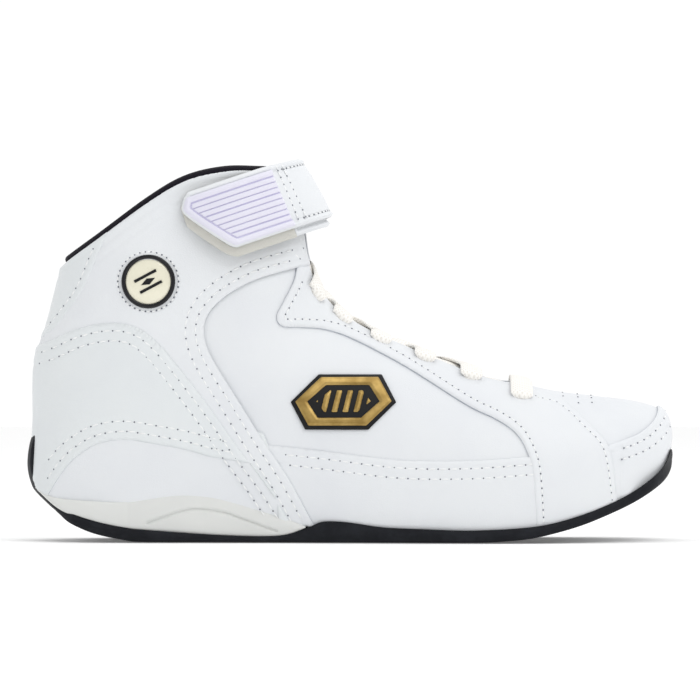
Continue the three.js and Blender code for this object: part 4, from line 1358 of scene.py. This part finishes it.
def emblem_piece(name, field, foot, rise, reach, low, look):
    """A flat piece on the side panel, rising from foot at its edge, and down to low."""

    def top(edge):
        return SIDE_HEIGHT + foot + rise * np.clip(edge / reach, 0, 1)

    return EMBLEM.piece(name, field, top, SIDE_HEIGHT + low, look)


emblem_patch = emblem_piece("emblem_patch_skin", emblem_room(24, 12.5), 1.0, 0.5, 0.8, -0.5, EMBLEM_BLACK)
frame_field = np.minimum(emblem_room(22, 11), -emblem_room(16.5, 7.4))
emblem_frame = emblem_piece("emblem_frame_skin", frame_field, 1.7, 0.5, 0.9, 0.8, EMBLEM_GOLD)
slant = np.mod(EMBLEM.x - 0.25 * EMBLEM.z, 5.0)
bars_field = np.minimum(emblem_room(12.5, 4.9), 1.3 - np.abs(slant - 2.5))
emblem_bars = emblem_piece("emblem_bars", bars_field, 1.7, 0.4, 0.7, 0.8, EMBLEM_GOLD)
belongs(emblem_patch, "root", "badge_black", "emblem_patch")
belongs(emblem_frame, "root", "emblem_gold", "emblem_frame")
belongs(emblem_bars, "root", "emblem_gold")

# ------------------------------------------------------------------ hidden CAD pieces

INSIDE_LOOKS = {
    "insole_board": BOARD_FIBRE,
    "heel_stiffener": BOARD_FIBRE,
    "toe_puff": BOARD_FIBRE,
    "collar_padding_outer": LINING_CLOTH,
    "collar_padding_inner": LINING_CLOTH,
}
for node, look in INSIDE_LOOKS.items():
    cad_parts[node].data.materials.clear()
    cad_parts[node].data.materials.append(look)

# ------------------------------------------------------------------ stage, light and camera


def area_light(name, place, aim, size, power):
    lamp = bpy.data.lights.new(name, "AREA")
    lamp.shape = "RECTANGLE"
    lamp.size, lamp.size_y = size
    lamp.energy = power
    made = bpy.data.objects.new(name, lamp)
    made.location = place
    made.rotation_euler = (Vector(aim) - Vector(place)).to_track_quat("-Z", "Y").to_euler()
    bpy.context.scene.collection.objects.link(made)


def stage():
    half = 4.0
    mesh = bpy.data.meshes.new("floor")
    corners = [(-half, -half, 0), (half, -half, 0), (half, half, 0), (-half, half, 0)]
    mesh.from_pydata(corners, [], [(0, 1, 2, 3)])
    floor = bpy.data.objects.new("floor", mesh)
    look = material("floor_white", (0.93, 0.93, 0.93), 0.8, specular=0.1)
    glow = look.node_tree.nodes["Principled BSDF"]
    glow.inputs["Emission Color"].default_value = (1, 1, 1, 1)
    glow.inputs["Emission Strength"].default_value = 0.12
    mesh.materials.append(look)
    floor.location.z = -0.0004
    bpy.context.scene.collection.objects.link(floor)


stage()
world = bpy.data.worlds.new("studio")
bpy.context.scene.world = world
world.use_nodes = True
sky = world.node_tree.nodes
sky["Background"].inputs["Color"].default_value = (1, 1, 1, 1)
way = sky.new("ShaderNodeTexCoord")
facing = sky.new("ShaderNodeVectorMath")
facing.operation = "DOT_PRODUCT"
facing.inputs[1].default_value = (0.35, 0.76, 0.55)
power = sky.new("ShaderNodeMapRange")
for socket, value in (("From Min", -0.8), ("From Max", 0.72), ("To Min", 0.5), ("To Max", 1.04)):
    power.inputs[socket].default_value = value
world.node_tree.links.new(way.outputs["Generated"], facing.inputs[0])
world.node_tree.links.new(facing.outputs["Value"], power.inputs["Value"])
world.node_tree.links.new(power.outputs["Result"], sky["Background"].inputs["Strength"])
area_light("key", (0.7, -1.2, 1.5), (0.03, 0, 0.08), (1.3, 1.3), 9.5)
area_light("top", (0.2, 0.2, 1.8), (0.03, 0, 0.05), (1.6, 1.2), 4.0)
area_light("fill", (-1.2, -1.0, 0.5), (0.0, 0, 0.08), (0.9, 0.9), 1.0)
bpy.context.scene.view_settings.view_transform = "Standard"

camera_data = bpy.data.cameras.new("camera")
camera_data.lens = 300
camera_data.sensor_width = 36
camera = bpy.data.objects.new("camera", camera_data)
VIEW_WIDTH = 0.3229
camera.location = (-0.0005, -0.006 - VIEW_WIDTH * camera_data.lens / camera_data.sensor_width, 0.0876)
camera.rotation_euler = (math.radians(90), 0, 0)
bpy.context.scene.collection.objects.link(camera)
bpy.context.scene.camera = camera
